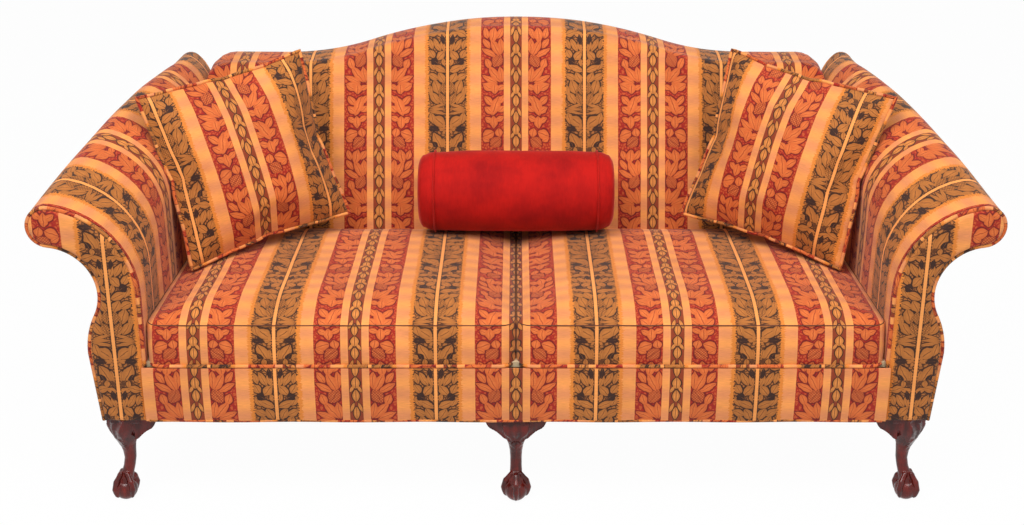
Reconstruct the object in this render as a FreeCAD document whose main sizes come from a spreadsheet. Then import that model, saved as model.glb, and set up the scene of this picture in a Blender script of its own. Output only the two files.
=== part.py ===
import FreeCAD, Part
import Sketcher
import math
import os
from FreeCAD import Vector

# Camelback sofa. Millimetres, +Z up, +X to the right of someone who looks at its front.
# Depths are measured backwards from the face of the front border, and the whole part is then
# moved forward by half its depth, so that the origin lies under its centre, on the floor.

SIZES = {
    # whole sofa
    "origin_depth": 420.0,
    "leg_height": 205.0,
    "seat_half_front": 790.0,
    "seat_half_rear": 780.0,
    "seat_depth": 600.0,
    "seat_height": 462.0,
    "back_lean": 19.3,
    # hardwood frame
    "rail_height": 106.0,
    "rail_thick": 30.0,
    "frame_front": 10.0,
    "frame_rear": 690.0,
    "front_rim": 94.0,
    "rear_rim": 60.0,
    "frame_half_front": "=seat_half_front + front_rim",
    "frame_half_rear": "=seat_half_rear + rear_rim",
    "stretcher_width": 60.0,
    "stretcher_thick": 25.0,
    "stretcher_place": 264.0,
    "block_leg": 90.0,
    "block_height": 60.0,
    "post_thick": 30.0,
    "top_rail_width": 42.0,
    "top_rail_end": 26.0,
    "top_rail_thick": 22.0,
    "tack_rail_width": 22.0,
    "tack_rail_height": 45.0,
    "tack_rail_rise": 90.0,
    "back_post_width": 64.0,
    "back_post_rim": 14.0,
    "back_post_outer": "=seat_half_rear + back_post_rim",
    "back_post_inner": "=back_post_outer - back_post_width",
    "back_frame_thick": 30.0,
    "back_rail_height": 70.0,
    "back_slat_width": 60.0,
    "back_slat_spacing": 480.0,
    "back_tack_height": 350.0,
    "dowel_diameter": 14.0,
    "dowel_length": 56.0,
    "dowel_set_in": 11.0,
    # camel line of the back, heights over the floor at the front edge of the back
    "hump_height": 908.0,
    "shoulder_height": 821.0,
    "hump_share": 0.62,
    "shoulder_half": 585.0,
    "corner_radius": 60.0,
    "back_half_top": "=seat_half_rear",
    "back_top_depth": 92.0,
    "back_edge_round": 22.0,
    "back_pad": 40.0,
    "frame_cover": 22.0,
    "panel_thick": 6.0,
    # arm scroll at the front
    "scroll_top_front": 698.0,
    "scroll_reach_front": 222.0,
    "scroll_out_front": "=seat_half_front + scroll_reach_front",
    "scroll_radius_front": 46.0,
    "scroll_sweep_front": 200.0,
    "scroll_hollow_front": 104.0,
    "neck_width_front": 88.0,
    "belly_width_front": 122.0,
    "belly_height_front": 365.0,
    "base_width_front": 108.0,
    # arm scroll at the back
    "scroll_top_rear": 826.0,
    "scroll_reach_rear": 90.0,
    "scroll_out_rear": "=seat_half_rear + scroll_reach_rear",
    "scroll_radius_rear": 30.0,
    "scroll_sweep_rear": 110.0,
    "scroll_hollow_rear": 50.0,
    "neck_width_rear": 58.0,
    "belly_width_rear": 64.0,
    "belly_height_rear": 500.0,
    "base_width_rear": 75.0,
    "arm_straight": 720.0,
    "arm_pad": 14.0,
    # front panels, border and welts
    "arm_panel_proud": 12.0,
    "welt_diameter": 9.0,
    "dust_cover_thick": 1.5,
    # springs and linings
    "spring_count": 7.0,
    "spring_wire": 4.0,
    "spring_bends": 7.0,
    "spring_width": 120.0,
    "burlap_thick": 2.0,
    "deck_thick": 16.0,
    "webbing_width": 50.0,
    "webbing_thick": 2.0,
    "webbing_spacing": 160.0,
    # seat cushions
    "cushion_thick": 92.0,
    "cushion_crown": 34.0,
    "cushion_corner": 34.0,
    "cushion_lean": 14.0,
    "cover_thick": 3.0,
    "soft_gap": 0.3,
    # pillows
    "pillow_side": 405.0,
    "pillow_thick": 120.0,
    "pillow_draw_in": 16.0,
    "pillow_yaw": 35.0,
    "pillow_tilt": 17.0,
    "pillow_roll": 8.0,
    "pillow_place": 628.0,
    "pillow_depth": 415.0,
    # bolster
    "bolster_length": 470.0,
    "bolster_diameter": 198.0,
    "bolster_edge": 30.0,
    "bolster_depth": 505.0,
    # legs
    "leg_top": 62.0,
    "leg_top_corner": 8.0,
    "knee_height": 176.0,
    "knee_width": 66.0,
    "knee_out": 12.0,
    "ankle_height": 96.0,
    "ankle_width": 25.0,
    "ankle_out": 4.0,
    "foot_out": 22.0,
    "ball_diameter": 50.0,
    "ball_height": 46.0,
    "claw_width": 13.0,
    "bracket_reach": 36.0,
    "bracket_drop": 46.0,
    "bracket_thick": 22.0,
    "rear_leg_top": 48.0,
    "rear_leg_foot": 34.0,
    "rear_leg_rake": 50.0,
    "dust_cover_inset": 12.0,
    "dust_cover_gap": 2.0,
}

doc = FreeCAD.newDocument("camelback_sofa")
sheet = doc.addObject("Spreadsheet::Sheet", "sizes")
for row, (alias, value) in enumerate(SIZES.items(), start=1):
    sheet.set("A%d" % row, alias)
    sheet.set("B%d" % row, str(value))
    sheet.setAlias("B%d" % row, alias)
doc.recompute()

nodes = []


def size(alias):
    """The value of one driving dimension."""
    return float(sheet.get(alias))


def keep(obj, label):
    """Names a finished sub-part and moves it to the part's own origin."""
    obj.Label = label
    obj.Placement = FreeCAD.Placement(Vector(0, 0, 0), FreeCAD.Rotation())
    obj.setExpression("Placement.Base.y", "-sizes.origin_depth")
    nodes.append(obj)
    return obj


def solid(shape, label):
    """Keeps a shape made with Part's own functions as a sub-part."""
    obj = doc.addObject("Part::Feature", label)
    obj.Shape = Part.makeCompound(shape.Solids)
    return keep(obj, label)


def group(shapes, label):
    """Keeps several separate solids as one sub-part."""
    return solid(Part.makeCompound(shapes), label)


def mirrored(shape):
    """The same shape on the other side of the sofa."""
    return shape.mirror(Vector(0, 0, 0), Vector(1, 0, 0))


def pair(shape, label):
    """Keeps a right-hand shape and its mirror image."""
    return solid(shape, label + "_right"), solid(mirrored(shape), label + "_left")


def origin_plane(body, role):
    """One of a body's own base planes."""
    return [plane for plane in body.Origin.OriginFeatures if plane.Role == role][0]


def board(label, plane, corners, lift, thickness):
    """A board: four corners in a base plane, as pairs of expressions, padded along its normal."""
    body = doc.addObject("PartDesign::Body", label)
    sketch = body.newObject("Sketcher::SketchObject", label + "_outline")
    sketch.AttachmentSupport = (origin_plane(body, plane), [""])
    sketch.MapMode = "FlatFace"
    sketch.setExpression("AttachmentOffset.Base.z", lift)
    count = len(corners)
    for index in range(count):
        start = Vector(10.0 + index, 5.0 * index * index, 0)
        end_index = (index + 1) % count
        end = Vector(10.0 + end_index, 5.0 * end_index * end_index, 0)
        sketch.addGeometry(Part.LineSegment(start, end), False)
    for index in range(count):
        sketch.addConstraint(Sketcher.Constraint("Coincident", index, 2, (index + 1) % count, 1))
    for index, (across, along) in enumerate(corners):
        for axis, expression in (("DistanceX", across), ("DistanceY", along)):
            number = sketch.addConstraint(Sketcher.Constraint(axis, -1, 1, index, 1, 1.0))
            sketch.setExpression("Constraints[%d]" % number, expression)
    pad = body.newObject("PartDesign::Pad", label + "_pad")
    pad.Profile = sketch
    pad.setExpression("Length", thickness)
    body.Tip = pad
    return keep(body, label)


# The hardwood seat frame.

rail_under = "sizes.leg_height"
front_inside = "(sizes.frame_front + sizes.rail_thick)"
rear_inside = "(sizes.frame_rear - sizes.rail_thick)"


def plan_board(label, left, right, front, rear, lift, thickness):
    """A board with square ends, drawn from above."""
    corners = [(left, front), (right, front), (right, rear), (left, rear)]
    return board(label, "XY_Plane", corners, lift, thickness)


plan_board("front_rail", "-sizes.frame_half_front", "sizes.frame_half_front",
           "sizes.frame_front", front_inside, rail_under, "sizes.rail_height")
plan_board("rear_rail", "-sizes.frame_half_rear", "sizes.frame_half_rear",
           rear_inside, "sizes.frame_rear", rail_under, "sizes.rail_height")
for side, sign in (("right", ""), ("left", "-")):
    corners = [
        (sign + "sizes.frame_half_front", front_inside),
        (sign + "sizes.frame_half_rear", rear_inside),
        (sign + "(sizes.frame_half_rear - sizes.rail_thick)", rear_inside),
        (sign + "(sizes.frame_half_front - sizes.rail_thick)", front_inside),
    ]
    board("side_rail_" + side, "XY_Plane", corners, rail_under, "sizes.rail_height")
    middle = sign + "sizes.stretcher_place"
    plan_board("seat_stretcher_" + side, middle + " - sizes.stretcher_width / 2",
               middle + " + sizes.stretcher_width / 2", front_inside, rear_inside,
               rail_under, "sizes.stretcher_thick")

block_leg = size("block_leg")
leg_height = size("leg_height")
rail_thick = size("rail_thick")
rail_top = leg_height + size("rail_height")
frame_front = size("frame_front")
frame_rear = size("frame_rear")
frame_half_front = size("frame_half_front")
frame_half_rear = size("frame_half_rear")
front_line = frame_front + rail_thick
rear_line = frame_rear - rail_thick


def side_rail_inside(depth):
    """Where the inner face of the side rail lies at a depth."""
    share = (depth - front_line) / (rear_line - front_line)
    return frame_half_front - rail_thick - (frame_half_front - frame_half_rear) * share


def prism(points, direction):
    """A closed polygon drawn out along a direction."""
    wire = Part.makePolygon([Vector(*point) for point in points] + [Vector(*points[0])])
    return Part.Face(wire).extrude(Vector(*direction))


def corner_block(front, rear):
    """A glue block in the angle between a side rail and the front or rear rail."""
    inner = min(side_rail_inside(front), side_rail_inside(rear)) - block_leg
    corners = [
        (inner, front, leg_height),
        (side_rail_inside(front), front, leg_height),
        (side_rail_inside(rear), rear, leg_height),
        (inner, rear, leg_height),
    ]
    return prism(corners, (0, 0, size("block_height")))


front_block = corner_block(front_line, front_line + block_leg)
rear_block = corner_block(rear_line - block_leg, rear_line)
centre_block = Part.makeBox(block_leg, block_leg, size("block_height"),
                            Vector(-block_leg / 2, front_line, leg_height))
corner_blocks = [front_block, mirrored(front_block), rear_block, mirrored(rear_block), centre_block]


# The outline of an arm across its length: a sweep up the inside, the rolled scroll, the hollow
# under it and the swelling of the outer face. An inset gives the same outline further in.

def between(front, rear, share):
    return front + (rear - front) * share


def arm_station(depth):
    """The outline's sizes at a depth, from the scroll at the front to the one at the back."""
    share = min(max((depth - frame_front) / (size("arm_straight") - frame_front), 0.0), 1.0)
    rise = math.sin(share * math.pi / 2)
    station = {
        "inside": between(size("seat_half_front"), size("seat_half_rear"), share),
        "top": between(size("scroll_top_front"), size("scroll_top_rear"), rise),
        "out": between(size("scroll_out_front"), size("scroll_out_rear"), share),
    }
    for key in ("scroll_radius", "scroll_sweep", "scroll_hollow", "neck_width",
                "belly_width", "belly_height", "base_width"):
        station[key] = between(size(key + "_front"), size(key + "_rear"), share)
    return station


def arm_outline(depth, inset, bottom, chords=0):
    """The closed wire of an arm's section at a depth, for the right-hand arm.

    With a number of chords, each round stretch is that many straight ones.
    """
    station = arm_station(depth)
    inside = station["inside"]
    roll = station["scroll_radius"]
    sweep = station["scroll_sweep"]
    hollow = station["scroll_hollow"]
    roll_x = station["out"] - roll
    roll_z = station["top"] - roll
    sweep_x = inside + sweep
    sweep_z = roll_z - math.sqrt((sweep - roll) ** 2 - (sweep_x - roll_x) ** 2)
    hollow_x = inside + station["neck_width"] + hollow
    hollow_z = roll_z - math.sqrt((roll + hollow) ** 2 - (hollow_x - roll_x) ** 2)
    belly_x = inside + station["belly_width"]
    belly_z = station["belly_height"]
    drop = hollow_z - belly_z
    over = hollow_x - belly_x
    belly = (over ** 2 + drop ** 2 - hollow ** 2) / (2 * (hollow - over))
    base_x = inside + station["base_width"]

    def at(x, z, radius, angle):
        return Vector(x + radius * math.cos(angle), depth, z + radius * math.sin(angle))

    def arc(x, z, radius, first, last):
        if chords:
            angles = [between(first, last, step / chords) for step in range(chords + 1)]
            points = [at(x, z, radius, angle) for angle in angles]
            return Part.makePolygon(points).Edges
        ends = [at(x, z, radius, angle) for angle in (first, (first + last) / 2, last)]
        return [Part.Arc(*ends).toShape()]

    top_angle = math.atan2(roll_z - sweep_z, roll_x - sweep_x)
    under_angle = math.atan2(hollow_z - roll_z, hollow_x - roll_x)
    belly_angle = math.atan2(belly_z - hollow_z, belly_x - belly - hollow_x)
    sweep_arc = arc(sweep_x, sweep_z, sweep - inset, math.pi, top_angle)
    roll_over = arc(roll_x, roll_z, roll - inset, top_angle, 0.0)
    roll_under = arc(roll_x, roll_z, roll - inset, 0.0, under_angle)
    hollow_turn = belly_angle + 2 * math.pi
    hollow_arc = arc(hollow_x, hollow_z, hollow + inset, under_angle + math.pi, hollow_turn)
    belly_arc = arc(belly_x - belly, belly_z, belly - inset, belly_angle + math.pi, 0.0)
    belly_foot = Vector(belly_x - inset, depth, belly_z)
    foot = Vector(base_x - inset, depth, bottom)
    corner = Vector(inside + inset, depth, bottom)
    sweep_foot = Vector(inside + inset, depth, sweep_z)
    edges = [Part.LineSegment(corner, sweep_foot).toShape()]
    edges += sweep_arc + roll_over + roll_under + hollow_arc + belly_arc
    edges.append(Part.LineSegment(belly_foot, foot).toShape())
    edges.append(Part.LineSegment(foot, corner).toShape())
    return Part.Wire(edges)


ARM_STATIONS = 3
ARM_CHORDS = 8


def arm_loft(inset, front, bottom, chords=0):
    """An arm's solid from a depth at the front to well past the outside back."""
    straight = size("arm_straight")
    depths = [between(front, straight, step / ARM_STATIONS) for step in range(ARM_STATIONS + 1)]
    wires = [arm_outline(depth, inset, bottom, chords) for depth in depths]
    arm = Part.makeLoft(wires, True, True)
    tail = Part.Face(wires[-1]).extrude(Vector(0, size("back_top_depth") * 2, 0))
    return arm.fuse(tail)


# The camel line of the back, in the plane of a section: across, and up from the floor.

def camel_outline(inset, bottom, lean, pivot):
    """The closed wire of the back: a hump, two hollows down to the shoulders, rounded corners.

    It is drawn upright and later leans about a pivot height, so its heights over the floor are
    first stretched to lengths along the leaning plane.
    """
    stretch = 1 / math.cos(math.radians(lean))
    hump = pivot + (size("hump_height") - pivot) * stretch
    shoulder = pivot + (size("shoulder_height") - pivot) * stretch
    reach = size("shoulder_half")
    half = size("back_half_top")
    corner = size("corner_radius")
    both_radii = (reach ** 2 + (hump - shoulder) ** 2) / (2 * (hump - shoulder))
    hump_radius = both_radii * size("hump_share")
    hollow_radius = both_radii - hump_radius
    turn = math.asin(reach / (hump_radius + hollow_radius))
    corner_turn = math.pi / 2
    flat_end = half - corner

    def at(x, z, radius, angle):
        return Vector(x + radius * math.sin(angle), 0, z + radius * math.cos(angle))

    def arc(x, z, radius, first, last):
        ends = [at(x, z, radius, angle) for angle in (first, (first + last) / 2, last)]
        return Part.Arc(*ends)

    hump_z = hump - hump_radius
    hollow_z = shoulder + hollow_radius
    corner_z = shoulder - corner
    rise = arc(0, hump_z, hump_radius - inset, turn, 0.0)
    hollow = arc(reach, hollow_z, hollow_radius + inset, math.pi, math.pi + turn)
    flat_start = Vector(flat_end, 0, shoulder - inset)
    flat = Part.LineSegment(flat_start, Vector(reach, 0, shoulder - inset))
    round_corner = arc(flat_end, corner_z, corner - inset, corner_turn, 0.0)
    side_top = at(flat_end, corner_z, corner - inset, corner_turn)
    side_foot = Vector(side_top.x, 0, bottom)
    side = Part.LineSegment(side_foot, side_top)
    right = [curve.toShape() for curve in (side, round_corner, flat, hollow, rise)]
    left = [mirrored(edge) for edge in reversed(right)]
    base = Part.LineSegment(Vector(-side_foot.x, 0, bottom), side_foot).toShape()
    return Part.Wire(Part.sortEdges(right + left + [base])[0])


def leaning(shape, lean, depth, pivot):
    """Stands a shape drawn upright at depth 0 on a leaning plane that passes a depth at a height."""
    shape = shape.copy()
    shape.rotate(Vector(0, 0, pivot), Vector(1, 0, 0), -lean)
    shape.translate(Vector(0, depth, 0))
    return shape


seat_depth = size("seat_depth")
seat_height = size("seat_height")
back_lean = size("back_lean")
front_top_depth = seat_depth + (size("hump_height") - seat_height) * math.tan(math.radians(back_lean))
rear_top_depth = front_top_depth + size("back_top_depth")
rear_run = rear_top_depth - frame_rear
rear_lean = math.degrees(math.atan2(rear_run, size("hump_height") - rail_top))
panel_thick = size("panel_thick")
frame_cover = size("frame_cover")
wide = size("scroll_out_front")


def behind(start, thickness):
    """A leaning slab over the whole width, that starts some way behind the frame's rear plane."""
    reach = size("hump_height") + wide
    slab = Part.makeBox(2 * wide, thickness, reach - rail_top, Vector(-wide, start, rail_top))
    return leaning(slab, rear_lean, frame_rear, rail_top)


def front_section(back_from_face, inset, bottom):
    """A section of the back's padding, parallel to its face."""
    wire = camel_outline(inset, bottom, back_lean, seat_height)
    wire.translate(Vector(0, back_from_face, 0))
    return leaning(wire, back_lean, seat_depth, seat_height)


def rear_section(inset, bottom, forward):
    """A section of the back, parallel to its outside."""
    wire = camel_outline(inset, bottom, rear_lean, rail_top)
    wire.translate(Vector(0, -forward, 0))
    return leaning(wire, rear_lean, frame_rear, rail_top)


# The back: a padded shell whose face and top edge are rounded, over a frame in its hollow.

edge_round = size("back_edge_round")
deck_top = rail_top + size("spring_wire") + size("burlap_thick") + size("deck_thick")
back_foot = deck_top - size("deck_thick")
back_sections = [
    front_section(0, edge_round, back_foot),
    front_section(edge_round / 4, edge_round / 2.5, back_foot),
    front_section(edge_round, edge_round / 11, back_foot),
    rear_section(0, back_foot, -panel_thick),
]
back_form = Part.makeLoft(back_sections, True, True)
above_deck = Part.makeBox(2 * wide, 2 * wide, wide, Vector(-wide, 0, deck_top))
frame_zone = size("back_frame_thick") + size("webbing_thick")
hollow_foot = back_foot - wide / 4
hollow_front = rear_section(frame_cover, hollow_foot, frame_zone)
hollow_rear = rear_section(frame_cover, hollow_foot, 0)
back_hollow = Part.Face(hollow_front).extrude(hollow_rear.CenterOfMass - hollow_front.CenterOfMass)
outside_zone = behind(0, wide)
behind_rail = Part.makeBox(2 * wide, wide, rail_top, Vector(-wide, frame_rear, 0))
outside_zone = outside_zone.fuse(behind_rail)

# The frame of the back, drawn upright on the plane of the outside back and then leaned with it.

frame_thick = size("back_frame_thick")


def back_board(left, right, foot, top, forward=0.0, thick=None):
    """A board of the back frame, square to the outside back."""
    depth = frame_thick if thick is None else thick
    box = Part.makeBox(right - left, depth, top - foot, Vector(left, -forward - depth, foot))
    return leaning(box, rear_lean, frame_rear, rail_top)


rear_stretch = 1 / math.cos(math.radians(rear_lean))
shoulder_up = rail_top + (size("shoulder_height") - rail_top) * rear_stretch
top_rail_foot = shoulder_up - frame_cover - size("back_rail_height")
post_inner = size("back_post_inner")
post_outer = size("back_post_outer")
over_rail = Part.makeBox(2 * wide, 2 * wide, wide, Vector(-wide, 0, rail_top))
post = back_board(post_inner, post_outer, rail_top - frame_thick, top_rail_foot).common(over_rail)
pair(post, "back_post")
camel_face = Part.Face(camel_outline(frame_cover, top_rail_foot, rear_lean, rail_top))
camel_board = leaning(camel_face.extrude(Vector(0, -frame_thick, 0)), rear_lean, frame_rear, rail_top)
solid(camel_board, "back_top_rail")
tack_foot = size("back_tack_height")
tack_top = tack_foot + size("tack_rail_height")
solid(back_board(-post_inner, post_inner, tack_foot, tack_top), "back_tack_rail")
slat_half = size("back_slat_width") / 2
slats = [back_board(middle - slat_half, middle + slat_half, tack_top, top_rail_foot)
         for middle in (-size("back_slat_spacing"), 0.0, size("back_slat_spacing"))]
group(slats, "back_slats")

webbing_thick = size("webbing_thick")
webbing_half = size("webbing_width") / 2
webbing_step = size("webbing_spacing")
webbing_places = [(index + 0.5) * webbing_step for index in range(int(post_inner / webbing_step))]
webbing = [back_board(middle - webbing_half, middle + webbing_half, tack_foot,
                      top_rail_foot + size("tack_rail_height"), frame_thick, webbing_thick)
           for place in webbing_places for middle in (-place, place)]
group(webbing, "back_webbing")
frame_pieces = camel_board.fuse([post, mirrored(post)])
inside_back = back_form.common(above_deck).cut(outside_zone).cut(back_hollow).cut(frame_pieces)
solid(inside_back, "inside_back")

# The arms: a padded inside that rolls over the scroll to the neck, and an outer panel below it.

arm_pad = size("arm_pad")
HOLLOW_CHORDS = 2
arm_form = arm_loft(0, frame_front, leg_height, ARM_CHORDS)
post_front = frame_front
post_back = frame_front + size("post_thick")
arm_hollow = arm_loft(arm_pad, post_back, leg_height - 1, HOLLOW_CHORDS)
post_face = Part.Face(arm_outline(post_front, arm_pad, leg_height - 1))
post_prism = post_face.extrude(Vector(0, size("post_thick"), 0))
arm_shell = arm_form.cut(arm_hollow).cut(post_prism).cut(outside_zone).cut(back_form)
arm_shell = arm_shell.cut(frame_pieces)
rear_board_zone = behind(-frame_thick, frame_thick)
arm_rear_post = arm_hollow.common(rear_board_zone).common(over_rail).cut(back_form).cut(post)
pair(arm_rear_post, "arm_rear_post")
pair(post_prism.common(over_rail), "arm_post")


def neck_wedge(depth):
    """The outline that takes the outer panel out of the arm's shell at a depth."""
    station = arm_station(depth)
    roll_z = station["top"] - station["scroll_radius"]
    split_x = station["inside"] + station["neck_width"] / 2
    split_z = roll_z - station["scroll_radius"] - station["scroll_hollow"]
    points = [(split_x, 0), (split_x, split_z), (2 * wide, split_z), (2 * wide, 0)]
    corners = [Vector(x, depth, z) for x, z in points]
    return Part.makePolygon(corners + [corners[0]])


arm_straight = size("arm_straight")
wedge_front = neck_wedge(0)
wedge_straight = neck_wedge(arm_straight)
wedge = Part.makeLoft([wedge_front, wedge_straight], True, True)
wedge = wedge.fuse(Part.Face(wedge_straight).extrude(Vector(0, arm_straight, 0)))

# The outside back: one panel over the frame, the camel line and the ends of both arms.

arm_forms = arm_form.fuse(mirrored(arm_form))
panel_zone = behind(0, panel_thick)
outside_back = panel_zone.common(back_form.fuse(arm_forms))
rail_panel = Part.makeBox(2 * frame_half_rear, panel_thick, rail_top - leg_height,
                          Vector(-frame_half_rear, frame_rear, leg_height))
solid(outside_back.fuse(rail_panel).removeSplitter(), "outside_back")

# The rails inside each arm, from the front post to the back frame.


def arm_top_section(depth):
    """A section of the sawn top rail that runs through the middle of the roll."""
    station = arm_station(depth)
    share = (station["inside"] - size("seat_half_front")) / (size("seat_half_rear") - size("seat_half_front"))
    half = between(size("top_rail_width"), size("top_rail_end"), share) / 2
    rise = size("top_rail_thick") / 2
    x = station["out"] - station["scroll_radius"]
    z = station["top"] - station["scroll_radius"]
    corners = [(x - half, z - rise), (x + half, z - rise), (x + half, z + rise), (x - half, z + rise)]
    points = [Vector(across, depth, up) for across, up in corners]
    return Part.makePolygon(points + [points[0]])


def arm_tack_section(depth):
    """A section of the tack rail, against the inner padding above the seat."""
    inner = arm_station(depth)["inside"] + arm_pad
    outer = inner + size("tack_rail_width")
    foot = rail_top + size("tack_rail_rise")
    top = foot + size("tack_rail_height")
    points = [Vector(x, depth, z) for x, z in ((inner, foot), (outer, foot), (outer, top), (inner, top))]
    return Part.makePolygon(points + [points[0]])


def arm_rail(section):
    """A rail through the arm's stations, cut where it meets the back frame."""
    depths = [between(post_back, arm_straight, step / ARM_STATIONS) for step in range(ARM_STATIONS + 1)]
    wires = [section(depth) for depth in depths]
    rail = Part.makeLoft(wires, True, True)
    rail = rail.fuse(Part.Face(wires[-1]).extrude(Vector(0, arm_straight / 2, 0)))
    return rail.cut(behind(-frame_thick, wide)).removeSplitter()


arm_top_rail = arm_rail(arm_top_section)
pair(arm_top_rail, "arm_top_rail")
pair(arm_rail(arm_tack_section), "arm_tack_rail")
seat_frame_corners = [(0, front_line, leg_height), (frame_half_front, front_line, leg_height),
                      (frame_half_rear, rear_line, leg_height), (frame_half_rear, frame_rear, leg_height),
                      (0, frame_rear, leg_height)]
seat_frame_zone = prism(seat_frame_corners, (0, 0, size("rail_height")))
pair(arm_shell.common(above_deck).cut(wedge).cut(arm_top_rail), "inside_arm")
pair(arm_shell.common(wedge).cut(seat_frame_zone), "outside_arm")

# The scroll-shaped panels on the arm fronts, the front border and their welts.

WELT_SIDES = 6
WELT_BOW = 0.5
welt = size("welt_diameter")
panel_front = frame_front - size("arm_panel_proud")
panel_face = Part.Face(arm_outline(panel_front, welt + 2 * WELT_BOW, leg_height))
pair(panel_face.extrude(Vector(0, size("arm_panel_proud"), 0)), "arm_front_panel")


def welt_cord(path, diameter, closed=False):
    """A welt: a cord with flat sides that follows a path of lines and arcs in one plane."""
    radius = diameter / 2
    normal = path.findPlane().Axis
    rings = []
    for edge in path.OrderedEdges:
        middle = (edge.FirstParameter + edge.LastParameter) / 2
        curvature = edge.curvatureAt(middle)
        step_turn = 2 * math.acos(1 - WELT_BOW * curvature)
        steps = math.ceil(edge.Length * curvature / step_turn) if curvature else 1
        backwards = edge.Orientation == "Reversed"
        for step in range(1 if rings else 0, steps + 1):
            share = 1 - step / steps if backwards else step / steps
            parameter = between(edge.FirstParameter, edge.LastParameter, share)
            tangent = edge.tangentAt(parameter) * (-1 if backwards else 1)
            across = tangent.cross(normal)
            corners = []
            for side in range(WELT_SIDES):
                angle = 2 * math.pi * (side + 0.5) / WELT_SIDES
                reach = normal * math.sin(angle) + across * math.cos(angle)
                corners.append(edge.valueAt(parameter) + reach * radius)
            rings.append(Part.makePolygon(corners + [corners[0]]))
    if not closed:
        return Part.makeLoft(rings, True, True)
    half = len(rings) // 2
    rings[-1] = rings[0]
    return Part.makeLoft(rings[:half + 1], True, True).fuse(Part.makeLoft(rings[half:], True, True))


welt_depth = frame_front - welt / 2
welt_outline = arm_outline(welt_depth, welt / 2, deck_top)
welt_edges = welt_outline.Edges[:-2]
foot_start = Vector(arm_station(welt_depth)["inside"] + arm_station(welt_depth)["belly_width"] - welt / 2,
                    welt_depth, arm_station(welt_depth)["belly_height"])
foot_end = Vector(foot_start.x + arm_station(welt_depth)["base_width"] - arm_station(welt_depth)["belly_width"],
                  welt_depth, leg_height)
welt_edges.append(Part.LineSegment(foot_start, foot_end).toShape())
pair(welt_cord(Part.Wire(welt_edges), welt), "arm_panel_welt")
plan_board("front_border", "-(sizes.seat_half_front + sizes.welt_diameter - sizes.soft_gap)",
           "sizes.seat_half_front + sizes.welt_diameter - sizes.soft_gap", "0 * sizes.frame_front",
           "sizes.frame_front", rail_under,
           "sizes.rail_height + sizes.spring_wire + sizes.burlap_thick + sizes.deck_thick")
border_reach = size("seat_half_front") + welt
border_ends = [Vector(x, -welt / 2, leg_height + welt / 2) for x in (-border_reach, border_reach)]
border_line = Part.makeCylinder(welt / 2, 2 * border_reach, border_ends[0], Vector(1, 0, 0))
solid(border_line, "front_border_welt")


# The seat's suspension: springs on the rails, burlap and a deck pad over them, a dust cover below.

spring_wire = size("spring_wire")
spring_front = frame_front + rail_thick / 3
spring_back = frame_rear - rail_thick - spring_wire * 2


def zigzag_spring(middle):
    """A sinuous spring: a flat zigzag of wire from the front rail to the rear rail."""
    bends = int(size("spring_bends"))
    step = (spring_back - spring_front) / bends
    half = size("spring_width") / 2
    bars = []
    for index in range(bends + 1):
        depth = spring_front + index * step
        bars.append(Part.makeBox(2 * half, spring_wire, spring_wire, Vector(middle - half, depth, rail_top)))
        if index < bends:
            side = middle - half if index % 2 else middle + half - spring_wire
            bars.append(Part.makeBox(spring_wire, step, spring_wire, Vector(side, depth, rail_top)))
    return bars[0].fuse(bars[1:]).removeSplitter()


spring_total = int(size("spring_count"))
spring_pitch = 2 * size("seat_half_rear") / spring_total
springs = [zigzag_spring((index - (spring_total - 1) / 2) * spring_pitch) for index in range(spring_total)]
group(springs, "seat_springs")


def seat_sheet(foot, thickness, margin):
    """A sheet over the seat, between the arms and in front of the back frame."""
    front_reach = size("seat_half_front") + margin
    rear_reach = size("seat_half_rear") + margin
    rear = frame_rear - frame_thick - spring_wire
    corners = [(-front_reach, frame_front), (front_reach, frame_front), (rear_reach, rear), (-rear_reach, rear)]
    return prism([(x, y, foot) for x, y in corners], (0, 0, thickness))


sheet_margin = arm_pad / 2
burlap_foot = rail_top + spring_wire
solid(seat_sheet(burlap_foot, size("burlap_thick"), sheet_margin), "seat_burlap")
solid(seat_sheet(deck_top - size("deck_thick"), size("deck_thick"), sheet_margin), "deck_pad")

# Soft forms: box cushions with a crown and leaning fronts, knife-edge pillows, a bolster.

soft_gap = size("soft_gap")
cover_thick = size("cover_thick")


def rounded_wire(corners, radius):
    """A flat closed wire through four corners, each rounded by an arc."""
    edges = []
    count = len(corners)
    cuts = []
    for index, corner in enumerate(corners):
        back = (corners[index - 1] - corner).normalize()
        ahead = (corners[(index + 1) % count] - corner).normalize()
        half_angle = back.getAngle(ahead) / 2
        reach = radius / math.tan(half_angle)
        middle = (back + ahead).normalize() * (radius / math.sin(half_angle) - radius)
        cuts.append((corner + back * reach, corner + middle, corner + ahead * reach))
    for index, (start, middle, end) in enumerate(cuts):
        edges.append(Part.Arc(start, middle, end).toShape())
        edges.append(Part.LineSegment(end, cuts[(index + 1) % count][0]).toShape())
    return Part.Wire(edges)


def back_face_depth(height):
    """The depth of the back's face at a height over the floor."""
    return seat_depth + (height - seat_height) * math.tan(math.radians(back_lean))


# Level by level from the foot: share of the thickness, share of the crown, and how far the outline
# draws in, as a share of the corner radius.
CUSHION_LEVELS = [
    (0.0, 0.0, 0.4), (0.09, 0.0, 0.0), (0.5, 0.0, 0.0), (1.0, 0.0, 0.0), (1.0, 0.45, 1.0),
    (1.0, 0.78, 2.6), (1.0, 1.0, 5.4),
]
# How much of that the front, the rear and the sides take.
DRAW_FRONT = 0.7
DRAW_REAR = 0.5
DRAW_SIDE = 0.6


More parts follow.
